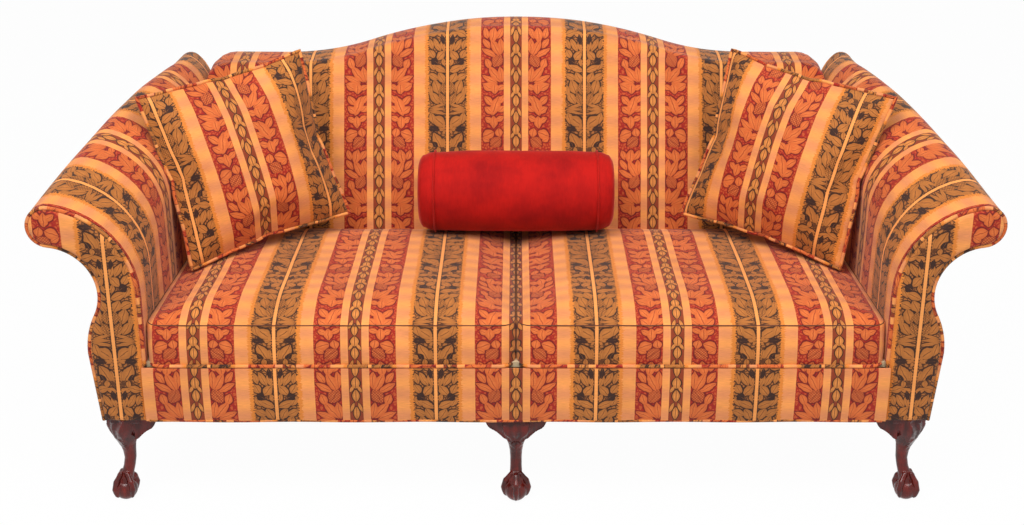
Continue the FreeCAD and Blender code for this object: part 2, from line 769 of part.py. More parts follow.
def seat_cushion_form(inset):
    """The right-hand seat cushion, or what lies a distance inside it."""
    thick = size("cushion_thick")
    crown = size("cushion_crown")
    lean = size("cushion_lean")
    corner = size("cushion_corner")
    foot = deck_top + soft_gap
    levels = CUSHION_LEVELS[::2] if inset else CUSHION_LEVELS
    wires = []
    for share, crown_share, draw_share in levels:
        draw_in = corner * draw_share
        height = foot + thick * share + crown * crown_share
        shrink = inset * (1 - 2 * (height - foot) / (thick + crown))
        front = lean * share + draw_in * DRAW_FRONT + inset
        rear = back_face_depth(height) - 2 * soft_gap - draw_in * DRAW_REAR - inset
        rear = min(rear, back_face_depth(height + shrink) - 2 * soft_gap - inset)
        side = draw_in * DRAW_SIDE + inset

        def across(depth):
            return arm_station(depth)["inside"] - soft_gap - side

        inner = soft_gap + side
        corners = [Vector(inner, front, height + shrink), Vector(across(front), front, height + shrink),
                   Vector(across(rear), rear, height + shrink), Vector(inner, rear, height + shrink)]
        wires.append(rounded_wire(corners, corner))
    return Part.makeLoft(wires, True, True)


cushion_form = seat_cushion_form(0.0)
cushion_core = seat_cushion_form(cover_thick)
pair(cushion_form.cut(cushion_core), "seat_cushion_cover")
pair(cushion_core, "seat_cushion_core")


# Level by level up to the seam: share of half the thickness, share of the side, and how far the
# sides draw in between the corners.
PILLOW_CHORDS = 4
PILLOW_LEVELS = [(-1.0, 0.36, -0.5), (-0.82, 0.65, -0.1), (-0.45, 0.88, 0.6), (-0.03, 1.0, 1.0)]


def pillow_form(inset):
    """A square pillow, lying flat about its centre, or what lies a distance inside it."""
    half = size("pillow_side") / 2 - inset * 2
    thick = size("pillow_thick") / 2 - inset
    draw_in = size("pillow_draw_in")
    below = PILLOW_LEVELS[::3] if inset else PILLOW_LEVELS
    above = [(-share, reach, sag) for share, reach, sag in reversed(below)]
    wires = []
    for share, reach, sag in below + above:
        corner = half * reach
        middle = corner - draw_in * sag
        height = thick * share
        corners = [(corner, -corner), (corner, corner), (-corner, corner), (-corner, -corner)]
        middles = [(middle, 0), (0, middle), (-middle, 0), (0, -middle)]
        points = []
        for index in range(4):
            start = Vector(*corners[index], height)
            bow = Vector(*middles[index], height)
            end = Vector(*corners[(index + 1) % 4], height)
            points += Part.Arc(start, bow, end).toShape().discretize(PILLOW_CHORDS + 1)[:-1]
        wires.append(Part.makePolygon(points + [points[0]]))
    return Part.makeLoft(wires, True, True)


SETTLING_STEPS = 24


def settled(shapes, supports, step):
    """Moves shapes along a direction until the first of them lies just clear of its supports."""
    base = Part.makeCompound(supports)
    moved = [shape.copy() for shape in shapes]
    travel = FreeCAD.Vector(step).normalize()
    for _ in range(SETTLING_STEPS):
        gap = moved[0].distToShape(base)[0] - soft_gap
        if gap < soft_gap / 3:
            break
        for shape in moved:
            shape.translate(travel * gap)
    return moved


pillow_turn = FreeCAD.Rotation(size("pillow_yaw"), 0, 0).multiply(
    FreeCAD.Rotation(Vector(1, 0, 0), 90 - size("pillow_tilt"))).multiply(
    FreeCAD.Rotation(Vector(0, 0, 1), size("pillow_roll")))
pillow_start = Vector(-size("pillow_place"), size("pillow_depth"), size("hump_height"))
pillow_shapes = []
for shape in (pillow_form(0.0), pillow_form(cover_thick)):
    turned = shape.copy()
    turned.Placement = FreeCAD.Placement(pillow_start, pillow_turn)
    pillow_shapes.append(turned)
left_supports = [mirrored(cushion_form), inside_back]

pillow, pillow_fill = settled(pillow_shapes, left_supports, Vector(0, 0, -1))
bolster_length = size("bolster_length")
bolster_radius = size("bolster_diameter") / 2


EDGE_CHORDS = 3


def bolster_form(inset):
    """The bolster: a round roll along the sofa, its ends rounded over by a few flats."""
    depth = size("bolster_depth")
    height = size("hump_height")
    half = bolster_length / 2 - inset
    radius = bolster_radius - inset
    edge = size("bolster_edge") - inset
    turns = [math.pi / 2 * step / EDGE_CHORDS for step in range(EDGE_CHORDS + 1)]
    rim = [(half - edge + edge * math.cos(turn), radius - edge + edge * math.sin(turn)) for turn in turns]
    profile = [(half, 0)] + rim + [(-x, reach) for x, reach in reversed(rim)] + [(-half, 0)]
    points = [Vector(x, depth, height + reach) for x, reach in profile]
    face = Part.Face(Part.makePolygon(points + [points[0]]))
    return face.revolve(Vector(0, depth, height), Vector(1, 0, 0), 360)


bolster_supports = [cushion_form, mirrored(cushion_form), inside_back]
bolster, bolster_fill = settled([bolster_form(0.0), bolster_form(cover_thick)], bolster_supports,
                                Vector(0, 0, -1))
solid(bolster.cut(bolster_fill), "bolster_cover")
solid(bolster_fill, "bolster_fill")
pillow_cover = pillow.cut(pillow_fill)
for side, shape in (("left", pillow_cover), ("right", mirrored(pillow_cover))):
    solid(shape, "pillow_cover_" + side)
for side, shape in (("left", pillow_fill), ("right", mirrored(pillow_fill))):
    solid(shape, "pillow_fill_" + side)

# The legs. A front leg is drawn about the middle of its top block, bending towards +X: a square
# block, a full knee, a thin ankle and a ball held by four claws.

leg_top = size("leg_top")


def leg_section(height, out, half, corner):
    """A rounded square section of the leg, level, with its middle some way out."""
    corners = [Vector(out + x * half, y * half, height) for x, y in ((1, -1), (1, 1), (-1, 1), (-1, -1))]
    return rounded_wire(corners, corner)


CLAW_SIDES = 6


def claw(angle, ball_z, ball_radius, out):
    """One talon: knuckled down from the ankle and over the ball, drawn towards +X, then turned."""
    ankle = size("ankle_width") / 2
    thick = size("claw_width") / 2
    rest = ball_radius + thick * 0.15
    stops = [
        (ankle * 0.55, size("ankle_height") * 0.8, 0.95, 80), (ankle * 0.95, ball_z * 2.5, 1.0, 62),
        (rest * 0.78, ball_z + rest * 0.72, 1.2, 40), (rest * 0.98, ball_z + rest * 0.3, 0.85, 12),
        (rest, ball_z - rest * 0.12, 1.1, -8), (rest * 0.86, ball_z - rest * 0.56, 0.75, -35),
        (rest * 0.66, thick * 0.3, 0.4, -55),
    ]
    rings = []
    for reach, height, share, lean in stops:
        slope = math.radians(lean)
        outward = Vector(math.cos(slope), 0, math.sin(slope))
        corners = []
        for side in range(CLAW_SIDES):
            turn = 2 * math.pi * side / CLAW_SIDES
            offset = outward * math.cos(turn) + Vector(0, 1, 0) * math.sin(turn)
            corners.append(Vector(reach, 0, height) + offset * (thick * share))
        rings.append(Part.makePolygon(corners + [corners[0]]))
    talon = Part.makeLoft(rings, True, True)
    talon.rotate(Vector(0, 0, 0), Vector(0, 0, 1), angle)
    talon.translate(Vector(out, 0, 0))
    return talon


def cabriole_leg():
    """The whole front leg, its knee and foot towards +X."""
    knee_half = size("knee_width") / 2
    ankle_half = size("ankle_width") / 2
    ankle_height = size("ankle_height")
    knee_height = size("knee_height")
    knee_out = size("knee_out")
    ankle_out = size("ankle_out")
    foot_out = size("foot_out")
    corner = size("leg_top_corner")
    ball_radius = size("ball_diameter") / 2
    ball_z = size("ball_height") / 2
    between_height = (knee_height + ankle_height) / 2
    stops = [
        (leg_height, 0.0, leg_top / 2, corner),
        (between(knee_height, leg_height, 0.5), knee_out * 0.6, knee_half * 1.0, corner * 1.6),
        (knee_height, knee_out, knee_half * 0.94, corner * 2.0),
        (between(between_height, knee_height, 0.55), knee_out * 1.1, knee_half * 0.72, corner * 2.0),
        (between_height, between(ankle_out, knee_out, 0.75), knee_half * 0.5, corner * 1.5),
        (ankle_height, ankle_out, ankle_half, ankle_half * 0.8),
        (ball_z * 2.6, between(ankle_out, foot_out, 0.45), ankle_half * 1.1, ankle_half * 0.85),
        (ball_z * 1.7, foot_out, ankle_half * 1.25, ankle_half * 0.95),
    ]
    stem = Part.makeLoft([leg_section(*stop) for stop in stops], True, True)
    ball = Part.makeSphere(ball_radius, Vector(foot_out, 0, ball_z))
    claws = [claw(angle, ball_z, ball_radius, foot_out) for angle in (0, 90, 180, 270)]
    leg = stem.fuse([ball] + claws)
    over_floor = Part.makeBox(8 * leg_top, 8 * leg_top, leg_height, Vector(-4 * leg_top, -4 * leg_top, 0))
    return leg.common(over_floor)


leg_form = cabriole_leg()


def bracket(reach, start):
    """A shaped knee bracket under the rail, hollowed below, beside a leg towards +X."""
    drop = size("bracket_drop")
    thick = size("bracket_thick")
    lip = drop / 4
    top_in = Vector(start, -thick / 2, leg_height)
    top_out = Vector(start + reach, -thick / 2, leg_height)
    lip_out = Vector(start + reach, -thick / 2, leg_height - lip)
    bow = Vector(start + reach * 0.3, -thick / 2, leg_height - drop * 0.5)
    foot_in = Vector(start, -thick / 2, leg_height - drop)
    edges = [Part.LineSegment(top_in, top_out).toShape(), Part.LineSegment(top_out, lip_out).toShape(),
             Part.Arc(lip_out, bow, foot_in).toShape(), Part.LineSegment(foot_in, top_in).toShape()]
    return Part.Face(Part.Wire(edges)).extrude(Vector(0, thick, 0))


def turned(shape, angle, x, depth):
    """A shape turned about the upright axis and set at a place."""
    shape = shape.copy()
    shape.rotate(Vector(0, 0, 0), Vector(0, 0, 1), angle)
    shape.translate(Vector(x, depth, 0))
    return shape


def dowel(x, depth):
    """A dowel, half in the leg and half in the block above it."""
    length = size("dowel_length")
    return Part.makeCylinder(size("dowel_diameter") / 2, length, Vector(x, depth, leg_height - length / 2))


leg_depth = frame_front + leg_top / 2
leg_place = frame_half_front - leg_top / 2
bracket_start = leg_top / 2
bracket_reach = size("bracket_reach")
dowel_inset = size("dowel_diameter")

front_dowel = dowel(leg_place - size("dowel_set_in"), leg_depth + dowel_inset)
centre_dowel = dowel(0.0, leg_depth + dowel_inset)
rear_leg_top = size("rear_leg_top")
rear_place = frame_half_rear - rear_leg_top / 2
rear_depth = rear_line - rear_leg_top / 4
rear_dowel = dowel(rear_place - dowel_inset, rear_depth - dowel_inset / 4)

# The square top block keeps square to the rails while the knee and foot of an outer leg turn out.
top_block = Part.makeBox(leg_top, leg_top, size("leg_top_corner") * 1.5,
                         Vector(-leg_top / 2, -leg_top / 2, leg_height - size("leg_top_corner") * 1.5))
under_rails = Part.makeBox(2 * wide, 2 * wide, leg_height, Vector(-wide, -wide, 0))
outer_leg = turned(leg_form, -45, leg_place, leg_depth).fuse(turned(top_block, 0, leg_place, leg_depth))
outer_leg = outer_leg.common(under_rails).cut(front_dowel)
pair(outer_leg, "front_leg")
centre_leg = turned(leg_form, -90, 0.0, leg_depth).fuse(turned(top_block, 0, 0.0, leg_depth))
centre_leg = centre_leg.cut(centre_dowel)
solid(centre_leg, "front_leg_centre")
centre_wing = turned(bracket(bracket_reach, bracket_start), 0, 0.0, leg_depth)
inner_wing = turned(bracket(bracket_reach, bracket_start), 180, leg_place, leg_depth)
wings = [centre_wing, mirrored(centre_wing), inner_wing, mirrored(inner_wing)]
wings = [wing.cut(centre_leg).cut(outer_leg).cut(mirrored(outer_leg)) for wing in wings]
group(wings, "knee_brackets")


def level_square(x, depth, height, width):
    half = width / 2
    points = [Vector(x + a * half, depth + b * half, height) for a, b in ((-1, -1), (1, -1), (1, 1), (-1, 1))]
    return Part.makePolygon(points + [points[0]])


rear_foot = level_square(rear_place, rear_depth + size("rear_leg_rake"), 0, size("rear_leg_foot"))
rear_ankle_share = 0.45
rear_ankle = level_square(rear_place, rear_depth + size("rear_leg_rake") * 0.3, leg_height * rear_ankle_share,
                          between(size("rear_leg_foot"), rear_leg_top, rear_ankle_share))
rear_head = level_square(rear_place, rear_depth, leg_height, rear_leg_top)
rear_leg = Part.makeLoft([rear_head, rear_ankle, rear_foot], True, True).cut(rear_dowel)
pair(rear_leg, "rear_leg")
dowels = [front_dowel, mirrored(front_dowel), centre_dowel, rear_dowel, mirrored(rear_dowel)]
group(dowels, "leg_dowels")
drilled = corner_blocks
for pin in dowels:
    drilled = [block.cut(pin) for block in drilled]
group(drilled, "corner_blocks")

# The dust cover: a thin cloth under the frame, cut round the tops of the legs.

cover_inset = size("dust_cover_inset")
cover_gap = size("dust_cover_gap")
cover_foot = leg_height - size("dust_cover_thick")
front_reach = frame_half_front - cover_inset
rear_reach = frame_half_rear - cover_inset
cover_corners = [(-front_reach, frame_front + cover_inset), (front_reach, frame_front + cover_inset),
                 (rear_reach, frame_rear - cover_inset), (-rear_reach, frame_rear - cover_inset)]
dust_cover = prism([(x, y, cover_foot) for x, y in cover_corners], (0, 0, size("dust_cover_thick")))


def clearance_box(x, depth, half_across, half_along):
    return Part.makeBox(2 * half_across, 2 * half_along, leg_height / 2,
                        Vector(x - half_across, depth - half_along, leg_height * 3 / 4))


leg_hole = leg_top / 2 + bracket_reach + cover_gap
along = leg_top / 2 + cover_gap + size("knee_width") / 4
rear_hole = rear_leg_top / 2 + cover_gap
holes = [clearance_box(x, leg_depth, leg_hole, along) for x in (-leg_place, 0.0, leg_place)]
holes += [clearance_box(x, rear_depth, rear_hole, rear_hole) for x in (-rear_place, rear_place)]
for hole in holes:
    dust_cover = dust_cover.cut(hole)
solid(dust_cover, "dust_cover")

# Every object is checked before anything is written.

doc.recompute()
for obj in doc.Objects:
    if "Invalid" in obj.State or "Error" in obj.State:
        raise RuntimeError("%s failed: %s" % (obj.Label, obj.State))
os.makedirs("parts", exist_ok=True)
for node in nodes:
    if node.Shape.isNull() or not node.Shape.isValid() or not node.Shape.Solids:
        raise RuntimeError("%s has no valid solid" % node.Label)
    node.Shape.exportStep(os.path.join("parts", node.Label + ".step"))
bounds = FreeCAD.BoundBox()
for node in nodes:
    bounds.add(node.Shape.BoundBox)
print("sub-parts", len(nodes), "box", bounds)
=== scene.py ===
import math

import bpy
from bpy.props import FloatProperty, FloatVectorProperty, PointerProperty
from mathutils import Matrix, Vector, noise


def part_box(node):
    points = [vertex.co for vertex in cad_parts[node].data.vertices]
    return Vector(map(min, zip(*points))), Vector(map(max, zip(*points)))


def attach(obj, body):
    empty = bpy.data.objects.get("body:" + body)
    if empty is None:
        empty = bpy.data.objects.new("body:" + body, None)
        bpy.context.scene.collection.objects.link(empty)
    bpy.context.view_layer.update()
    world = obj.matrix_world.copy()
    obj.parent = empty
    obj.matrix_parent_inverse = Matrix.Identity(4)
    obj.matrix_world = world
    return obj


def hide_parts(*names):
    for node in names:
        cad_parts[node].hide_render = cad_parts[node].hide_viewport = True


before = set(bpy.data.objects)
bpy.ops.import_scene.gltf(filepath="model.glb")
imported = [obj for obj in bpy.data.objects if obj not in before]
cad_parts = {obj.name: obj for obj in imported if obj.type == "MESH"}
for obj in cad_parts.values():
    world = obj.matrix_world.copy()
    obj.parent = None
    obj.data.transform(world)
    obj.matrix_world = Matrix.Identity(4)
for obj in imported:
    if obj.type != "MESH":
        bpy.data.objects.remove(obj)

bl_info = {
    "name": "Camelback sofa",
    "version": (1, 0, 0),
    "blender": (4, 5, 0),
    "location": "View3D > Sidebar > Sofa",
    "description": "Upholstery, carved legs and finishes of a camelback sofa, over its frame",
    "category": "Object",
}

# Metres, +Z up, +X to the right of someone who looks at the sofa's front. Depths are measured
# backwards from the face of the front border, as in the part's source.

ORIGIN_DEPTH = 0.420
FLOOR_TO_RAIL = 0.205
RAIL_TOP = 0.311
DECK_TOP = 0.333
SEAT_DEPTH = 0.600
SEAT_HEIGHT = 0.462
BACK_LEAN = math.radians(19.3)
REAR_FOOT = 0.690
REAR_SLOPE = 0.265
HUMP_HEIGHT = 0.908
SHOULDER_HEIGHT = 0.821
HUMP_SHARE = 0.62
SHOULDER_HALF = 0.585
BACK_CORNER = 0.060
BACK_HALF = 0.780
BACK_EDGE = 0.022
ARM_FRONT_DEPTH = 0.010
ARM_STRAIGHT = 0.720
ARM_FRONT = {"inside": 0.790, "top": 0.698, "out": 1.012, "roll": 0.046, "sweep": 0.200,
             "hollow": 0.104, "neck": 0.088, "belly": 0.122, "belly_z": 0.365, "base": 0.108}
ARM_REAR = {"inside": 0.780, "top": 0.826, "out": 0.870, "roll": 0.030, "sweep": 0.110,
            "hollow": 0.050, "neck": 0.058, "belly": 0.064, "belly_z": 0.500, "base": 0.075}

# The cloth repeats across and along its stripes. Half a repeat runs from the middle of a leafy
# green stripe to the middle of a narrow one, and is mirrored about both.
REPEAT_ACROSS = 0.343
REPEAT_ALONG = 0.304
HALF_REPEAT = REPEAT_ACROSS / 2


def between(first, last, share):
    """A value between two others, by its share of the way."""
    return first + (last - first) * share


def clear_selection():
    """Deselects everything, so that an operator only acts on what is made next."""
    if bpy.context.mode != "OBJECT":
        bpy.ops.object.mode_set(mode="OBJECT")
    bpy.ops.object.select_all(action="DESELECT")


def select_only(obj):
    """Makes one object the only selected and active one."""
    clear_selection()
    obj.select_set(True)
    bpy.context.view_layer.objects.active = obj


def mesh_object(name, points, faces):
    """An object with a new mesh, linked to the scene."""
    mesh = bpy.data.meshes.new(name)
    mesh.from_pydata([tuple(point) for point in points], [], faces)
    mesh.update()
    obj = bpy.data.objects.new(name, mesh)
    bpy.context.scene.collection.objects.link(obj)
    return obj


def apply_modifiers(obj):
    """Applies an object's modifiers, first to last."""
    select_only(obj)
    for name in [modifier.name for modifier in obj.modifiers]:
        bpy.ops.object.modifier_apply(modifier=name)


def rounded_shading(obj, degrees=40):
    """Shades a piece smooth, apart from edges sharper than an angle."""
    select_only(obj)
    bpy.ops.object.shade_smooth_by_angle(angle=math.radians(degrees))


def outward(obj):
    """Merges a closed piece's doubles and turns all its faces outward."""
    select_only(obj)
    bpy.ops.object.mode_set(mode="EDIT")
    bpy.ops.mesh.select_all(action="SELECT")
    bpy.ops.mesh.remove_doubles(threshold=0.00005)
    bpy.ops.mesh.normals_make_consistent(inside=False)
    bpy.ops.object.mode_set(mode="OBJECT")


def lay_cloth(obj, cloth):
    """Writes the place of each vertex on the cloth, in metres."""
    mesh = obj.data
    layer = mesh.uv_layers.get("cloth") or mesh.uv_layers.new(name="cloth")
    for loop in mesh.loops:
        layer.data[loop.index].uv = cloth[loop.vertex_index]


def cloth_sheet(name, columns, thickness):
    """A shell of cloth and padding. Its outer face is a grid: a column lists (point, place on the cloth)."""
    count = len(columns[0])
    faces = []
    for index in range(len(columns) - 1):
        for step in range(count - 1):
            corner = index * count + step
            faces.append((corner, corner + 1, corner + count + 1, corner + count))
    obj = mesh_object(name, [point for column in columns for point, _ in column], faces)
    lay_cloth(obj, [place for column in columns for _, place in column])
    shell = obj.modifiers.new("padding", "SOLIDIFY")
    shell.thickness = thickness
    shell.offset = -1
    apply_modifiers(obj)
    return obj


def tube(name, path, radius, sides=10, closed=False):
    """A round cord of cloth along a path, cut on the bias of the cloth's stripes."""
    points, cloth = [], []
    count = len(path)
    run = 0.0
    side_hint = None
    for index, point in enumerate(path):
        if closed:
            ahead = path[(index + 1) % count] - path[index - 1]
        else:
            ahead = path[min(index + 1, count - 1)] - path[max(index - 1, 0)]
        ahead.normalize()
        if side_hint is None:
            side_hint = ahead.orthogonal()
        side_hint = (side_hint - ahead * side_hint.dot(ahead)).normalized()
        up = ahead.cross(side_hint)
        if index:
            run += (point - path[index - 1]).length
        for side in range(sides):
            angle = 2 * math.pi * side / sides
            points.append(point + (side_hint * math.cos(angle) + up * math.sin(angle)) * radius)
            cloth.append((run, radius * angle + run))
    faces = []
    for index in range(count if closed else count - 1):
        ahead_row = (index + 1) % count * sides
        for side in range(sides):
            following = (side + 1) % sides
            faces.append((index * sides + side, index * sides + following,
                          ahead_row + following, ahead_row + side))
    if not closed:
        faces.append(tuple(reversed(range(sides))))
        faces.append(tuple(range((count - 1) * sides, count * sides)))
    obj = mesh_object(name, points, faces)
    lay_cloth(obj, cloth)
    outward(obj)
    rounded_shading(obj, 60)
    return obj


def finish_piece(obj, body, material, slot, *nodes):
    """Gives a piece its finish, makes it ride on a body and stand for CAD nodes."""
    obj.data.materials.clear()
    obj.data.materials.append(material)
    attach(obj, body)
    if nodes:
        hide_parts(*nodes)


def ruffled(obj, amount, scale, seed=0.0):
    """Moves a piece's points a little along their normals, as hand-laid padding lies."""
    mesh = obj.data
    offset = Vector((seed, seed * 2, seed * 3))
    moves = [noise.noise(vertex.co * scale + offset) * amount for vertex in mesh.vertices]
    normals = [vertex.normal.copy() for vertex in mesh.vertices]
    for vertex, normal, move in zip(mesh.vertices, normals, moves):
        vertex.co += normal * move
    mesh.update()


def side_name(name, sign):
    """The name of a piece on the right or the left, by its sign along X."""
    return name + ("_right" if sign > 0 else "_left")

# The lines of the sofa: the camel back, the arms' sections and what lies between them.


def camel_rise(across):
    """How far up the leaning face of the back its top edge lies, from the height of the seat."""
    lean = math.cos(BACK_LEAN)
    hump = (HUMP_HEIGHT - SEAT_HEIGHT) / lean
    shoulder = (SHOULDER_HEIGHT - SEAT_HEIGHT) / lean
    drop = hump - shoulder
    both_radii = (SHOULDER_HALF ** 2 + drop ** 2) / (2 * drop)
    hump_radius = both_radii * HUMP_SHARE
    hollow_radius = both_radii - hump_radius
    away = abs(across)
    flat_end = BACK_HALF - BACK_CORNER
    if away < SHOULDER_HALF * HUMP_SHARE:
        return hump - hump_radius + math.sqrt(hump_radius ** 2 - away ** 2)
    if away < SHOULDER_HALF:
        return shoulder + hollow_radius - math.sqrt(hollow_radius ** 2 - (SHOULDER_HALF - away) ** 2)
    if away < flat_end:
        return shoulder
    return shoulder - BACK_CORNER + math.sqrt(max(BACK_CORNER ** 2 - (away - flat_end) ** 2, 0.0))


def face_point(across, rise, behind=0.0):
    """A point by its place on the leaning face of the back and its distance behind that face."""
    lean_sin, lean_cos = math.sin(BACK_LEAN), math.cos(BACK_LEAN)
    depth = SEAT_DEPTH + rise * lean_sin + behind * lean_cos
    return Vector((across, depth - ORIGIN_DEPTH, SEAT_HEIGHT + rise * lean_cos - behind * lean_sin))


def rear_depth(height):
    """The depth of the outside back's frame plane at a height."""
    return REAR_FOOT + (height - RAIL_TOP) * REAR_SLOPE


def arm_station(depth):
    """The sizes of an arm's section at a depth."""
    share = min(max((depth - ARM_FRONT_DEPTH) / (ARM_STRAIGHT - ARM_FRONT_DEPTH), 0.0), 1.0)
    rise = math.sin(share * math.pi / 2)
    return {key: between(ARM_FRONT[key], ARM_REAR[key], rise if key == "top" else share)
            for key in ARM_FRONT}


def arm_section(depth, steps, foot, inset=0.0):
    """An arm's outline at a depth, up the inside and over the scroll: its stretches of (x, z) points."""
    station = arm_station(depth)
    inside, roll, sweep, hollow = (station[key] for key in ("inside", "roll", "sweep", "hollow"))
    roll_x, roll_z = station["out"] - roll, station["top"] - roll
    sweep_x = inside + sweep
    sweep_z = roll_z - math.sqrt((sweep - roll) ** 2 - (sweep_x - roll_x) ** 2)
    hollow_x = inside + station["neck"] + hollow
    hollow_z = roll_z - math.sqrt((roll + hollow) ** 2 - (hollow_x - roll_x) ** 2)
    belly_x, belly_z = inside + station["belly"], station["belly_z"]
    drop, over = hollow_z - belly_z, hollow_x - belly_x
    belly = (over ** 2 + drop ** 2 - hollow ** 2) / (2 * (hollow - over))
    top_turn = math.atan2(roll_z - sweep_z, roll_x - sweep_x)
    under_turn = math.atan2(hollow_z - roll_z, hollow_x - roll_x)
    belly_turn = math.atan2(belly_z - hollow_z, belly_x - belly - hollow_x) + 2 * math.pi
    arcs = [
        (sweep_x, sweep_z, sweep - inset, math.pi, top_turn),
        (roll_x, roll_z, roll - inset, top_turn, under_turn),
        (hollow_x, hollow_z, hollow + inset, under_turn + math.pi, math.pi),
        (hollow_x, hollow_z, hollow + inset, math.pi, belly_turn),
        (belly_x - belly, belly_z, belly - inset, belly_turn - math.pi, 0.0),
    ]
    stretches = [[(inside + inset, between(foot, sweep_z, step / steps)) for step in range(steps + 1)]]
    for x, z, radius, first, last in arcs:
        turns = [between(first, last, step / steps) for step in range(steps + 1)]
        stretches.append([(x + radius * math.cos(turn), z + radius * math.sin(turn)) for turn in turns])
    start = stretches[-1][-1]
    end = (inside + station["base"] - inset, FLOOR_TO_RAIL)
    stretches.append([(between(start[0], end[0], step / steps), between(start[1], end[1], step / steps))
                      for step in range(steps + 1)])
    return stretches


def with_runs(stretches):
    """Joins stretches of an outline into (x, z, run) points, run being the length so far."""
    points = []
    run = 0.0
    for stretch in stretches:
        for x, z in stretch:
            if points and math.hypot(x - points[-1][0], z - points[-1][1]) < 1e-6:
                continue
            if points:
                run += math.hypot(x - points[-1][0], z - points[-1][1])
            points.append((x, z, run))
    return points


def smooth_step(low, high, value):
    """0 up to one value, 1 from another on, and smooth between them."""
    share = min(max((value - low) / (high - low), 0.0), 1.0)
    return share * share * (3 - 2 * share)

# The finishes. Each group's arithmetic is made by small functions that return an output socket.


def put(tree, kind, inputs=(), **settings):
    """Adds a node, sets it up and links or fills its inputs in order."""
    node = tree.nodes.new(kind)
    for key, value in settings.items():
        setattr(node, key, value)
    for index, value in enumerate(inputs):
        if value is None:
            continue
        if isinstance(value, bpy.types.NodeSocket):
            tree.links.new(value, node.inputs[index])
        else:
            node.inputs[index].default_value = value
    return node


def maths(tree, operation, *inputs, clamp=False):
    """One sum on numbers."""
    return put(tree, "ShaderNodeMath", inputs, operation=operation, use_clamp=clamp).outputs[0]


def vector(tree, operation, *inputs):
    """One sum on vectors."""
    return put(tree, "ShaderNodeVectorMath", inputs, operation=operation).outputs[0]


def mixed(tree, share, first, second, blend="MIX"):
    """Two colours, mixed by a share."""
    node = tree.nodes.new("ShaderNodeMix")
    node.data_type = "RGBA"
    node.blend_type = blend
    for socket, value in ((node.inputs[0], share), (node.inputs[6], first), (node.inputs[7], second)):
        if isinstance(value, bpy.types.NodeSocket):
            tree.links.new(value, socket)
        else:
            socket.default_value = value
    return node.outputs[2]


def linear(red, green, blue):
    """A colour written as it looks on a screen, 0 to 255, made linear."""
    parts = []
    for part in (red, green, blue):
        part /= 255
        parts.append(part / 12.92 if part <= 0.04045 else ((part + 0.055) / 1.055) ** 2.4)
    return (*parts, 1.0)


def ramp(tree, value, stops):
    """A colour ramp from (place, colour) stops."""
    node = put(tree, "ShaderNodeValToRGB", [value])
    elements = node.color_ramp.elements
    while len(elements) < len(stops):
        elements.new(1.0)
    for element, (place, colour) in zip(elements, stops):
        element.position = place
        element.color = colour
    return node.outputs[0]


def new_group(name, inputs, outputs):
    """A shader node group with named inputs and outputs."""
    tree = bpy.data.node_groups.new(name, "ShaderNodeTree")
    for label, kind, value in inputs:
        socket = tree.interface.new_socket(label, in_out="INPUT", socket_type="NodeSocket" + kind)
        if value is not None:
            socket.default_value = value
    for label, kind in outputs:
        tree.interface.new_socket(label, in_out="OUTPUT", socket_type="NodeSocket" + kind)
    return tree, tree.nodes.new("NodeGroupInput"), tree.nodes.new("NodeGroupOutput")


# Leaves and petals of the cloth's design, in millimetres: across and along the cloth, the turn in
# degrees, half the length and half the width. Across is counted from the middle of a green stripe.

GREEN_LEAVES = [
    (24, 14, 62, 24, 10), (9, 10, 80, 13, 5), (40, 4, 35, 11, 5), (8, 50, 60, 8, 4), (16, 45, 20, 8, 4),
    (8, 38, -50, 7, 3), (21, 64, 38, 18, 11), (38, 72, 75, 15, 7), (24, 86, 10, 23, 3), (26, 94, -2, 22, 3),
    (24, 102, -14, 21, 3), (13, 119, 70, 17, 8), (32, 122, 55, 18, 8), (9, 146, 85, 15, 7),
    (27, 150, 72, 20, 9), (42, 140, 82, 15, 5), (15, 173, 60, 15, 8), (35, 176, 28, 14, 7),
    (20, 196, 25, 18, 7), (39, 204, 62, 13, 6), (9, 212, 75, 10, 5), (17, 229, 130, 14, 8),
    (39, 233, 60, 12, 7), (11, 251, 70, 15, 5), (26, 255, 60, 18, 6), (41, 257, 75, 13, 5),
    (14, 280, 20, 14, 6), (35, 283, -20, 14, 7), (23, 296, 88, 8, 5),
]
RED_LEAVES = [
    (103, 32, 20, 15, 10), (97, 19, -30, 10, 6), (129, 36, 100, 11, 8), (116, 62, 90, 16, 8),
    (104, 67, 150, 12, 6), (131, 71, 30, 11, 6), (120, 103, 70, 26, 10), (104, 92, 140, 14, 7),
    (103, 116, 130, 15, 7), (135, 95, 40, 11, 6), (135, 119, 55, 12, 6), (118, 147, 90, 15, 9),
    (101, 149, 150, 14, 7), (134, 149, 30, 10, 6), (134, 182, 100, 20, 7), (118, 182, 128, 25, 8),
    (106, 169, 155, 22, 6), (104, 157, 178, 17, 4), (102, 208, 110, 14, 7), (121, 248, 118, 24, 8),
    (104, 236, 150, 21, 6), (134, 253, 92, 20, 7), (98, 259, 125, 15, 6), (115, 280, 80, 18, 9),
    (132, 284, 60, 14, 6), (97, 284, 108, 13, 6), (121, 12, 40, 17, 11), (125, 216, 60, 18, 11),
]
NARROW_LEAVES = [
    (171, 14, 90, 14, 6), (171, 44, 90, 13, 7), (163, 30, 60, 9, 3), (171, 74, 90, 15, 5),
    (163, 88, 70, 12, 3),
]
NARROW_REPEAT = 0.1013
SEEDS = [(121, 12, 40, 17, 11), (125, 216, 60, 18, 11), (0, 132, 90, 34, 20)]
DARK_SPOTS = [(34, 45, 6, 15, 5), (33, 215, 30, 9, 8), (30, 4, 60, 12, 5), (12, 268, 80, 12, 4)]


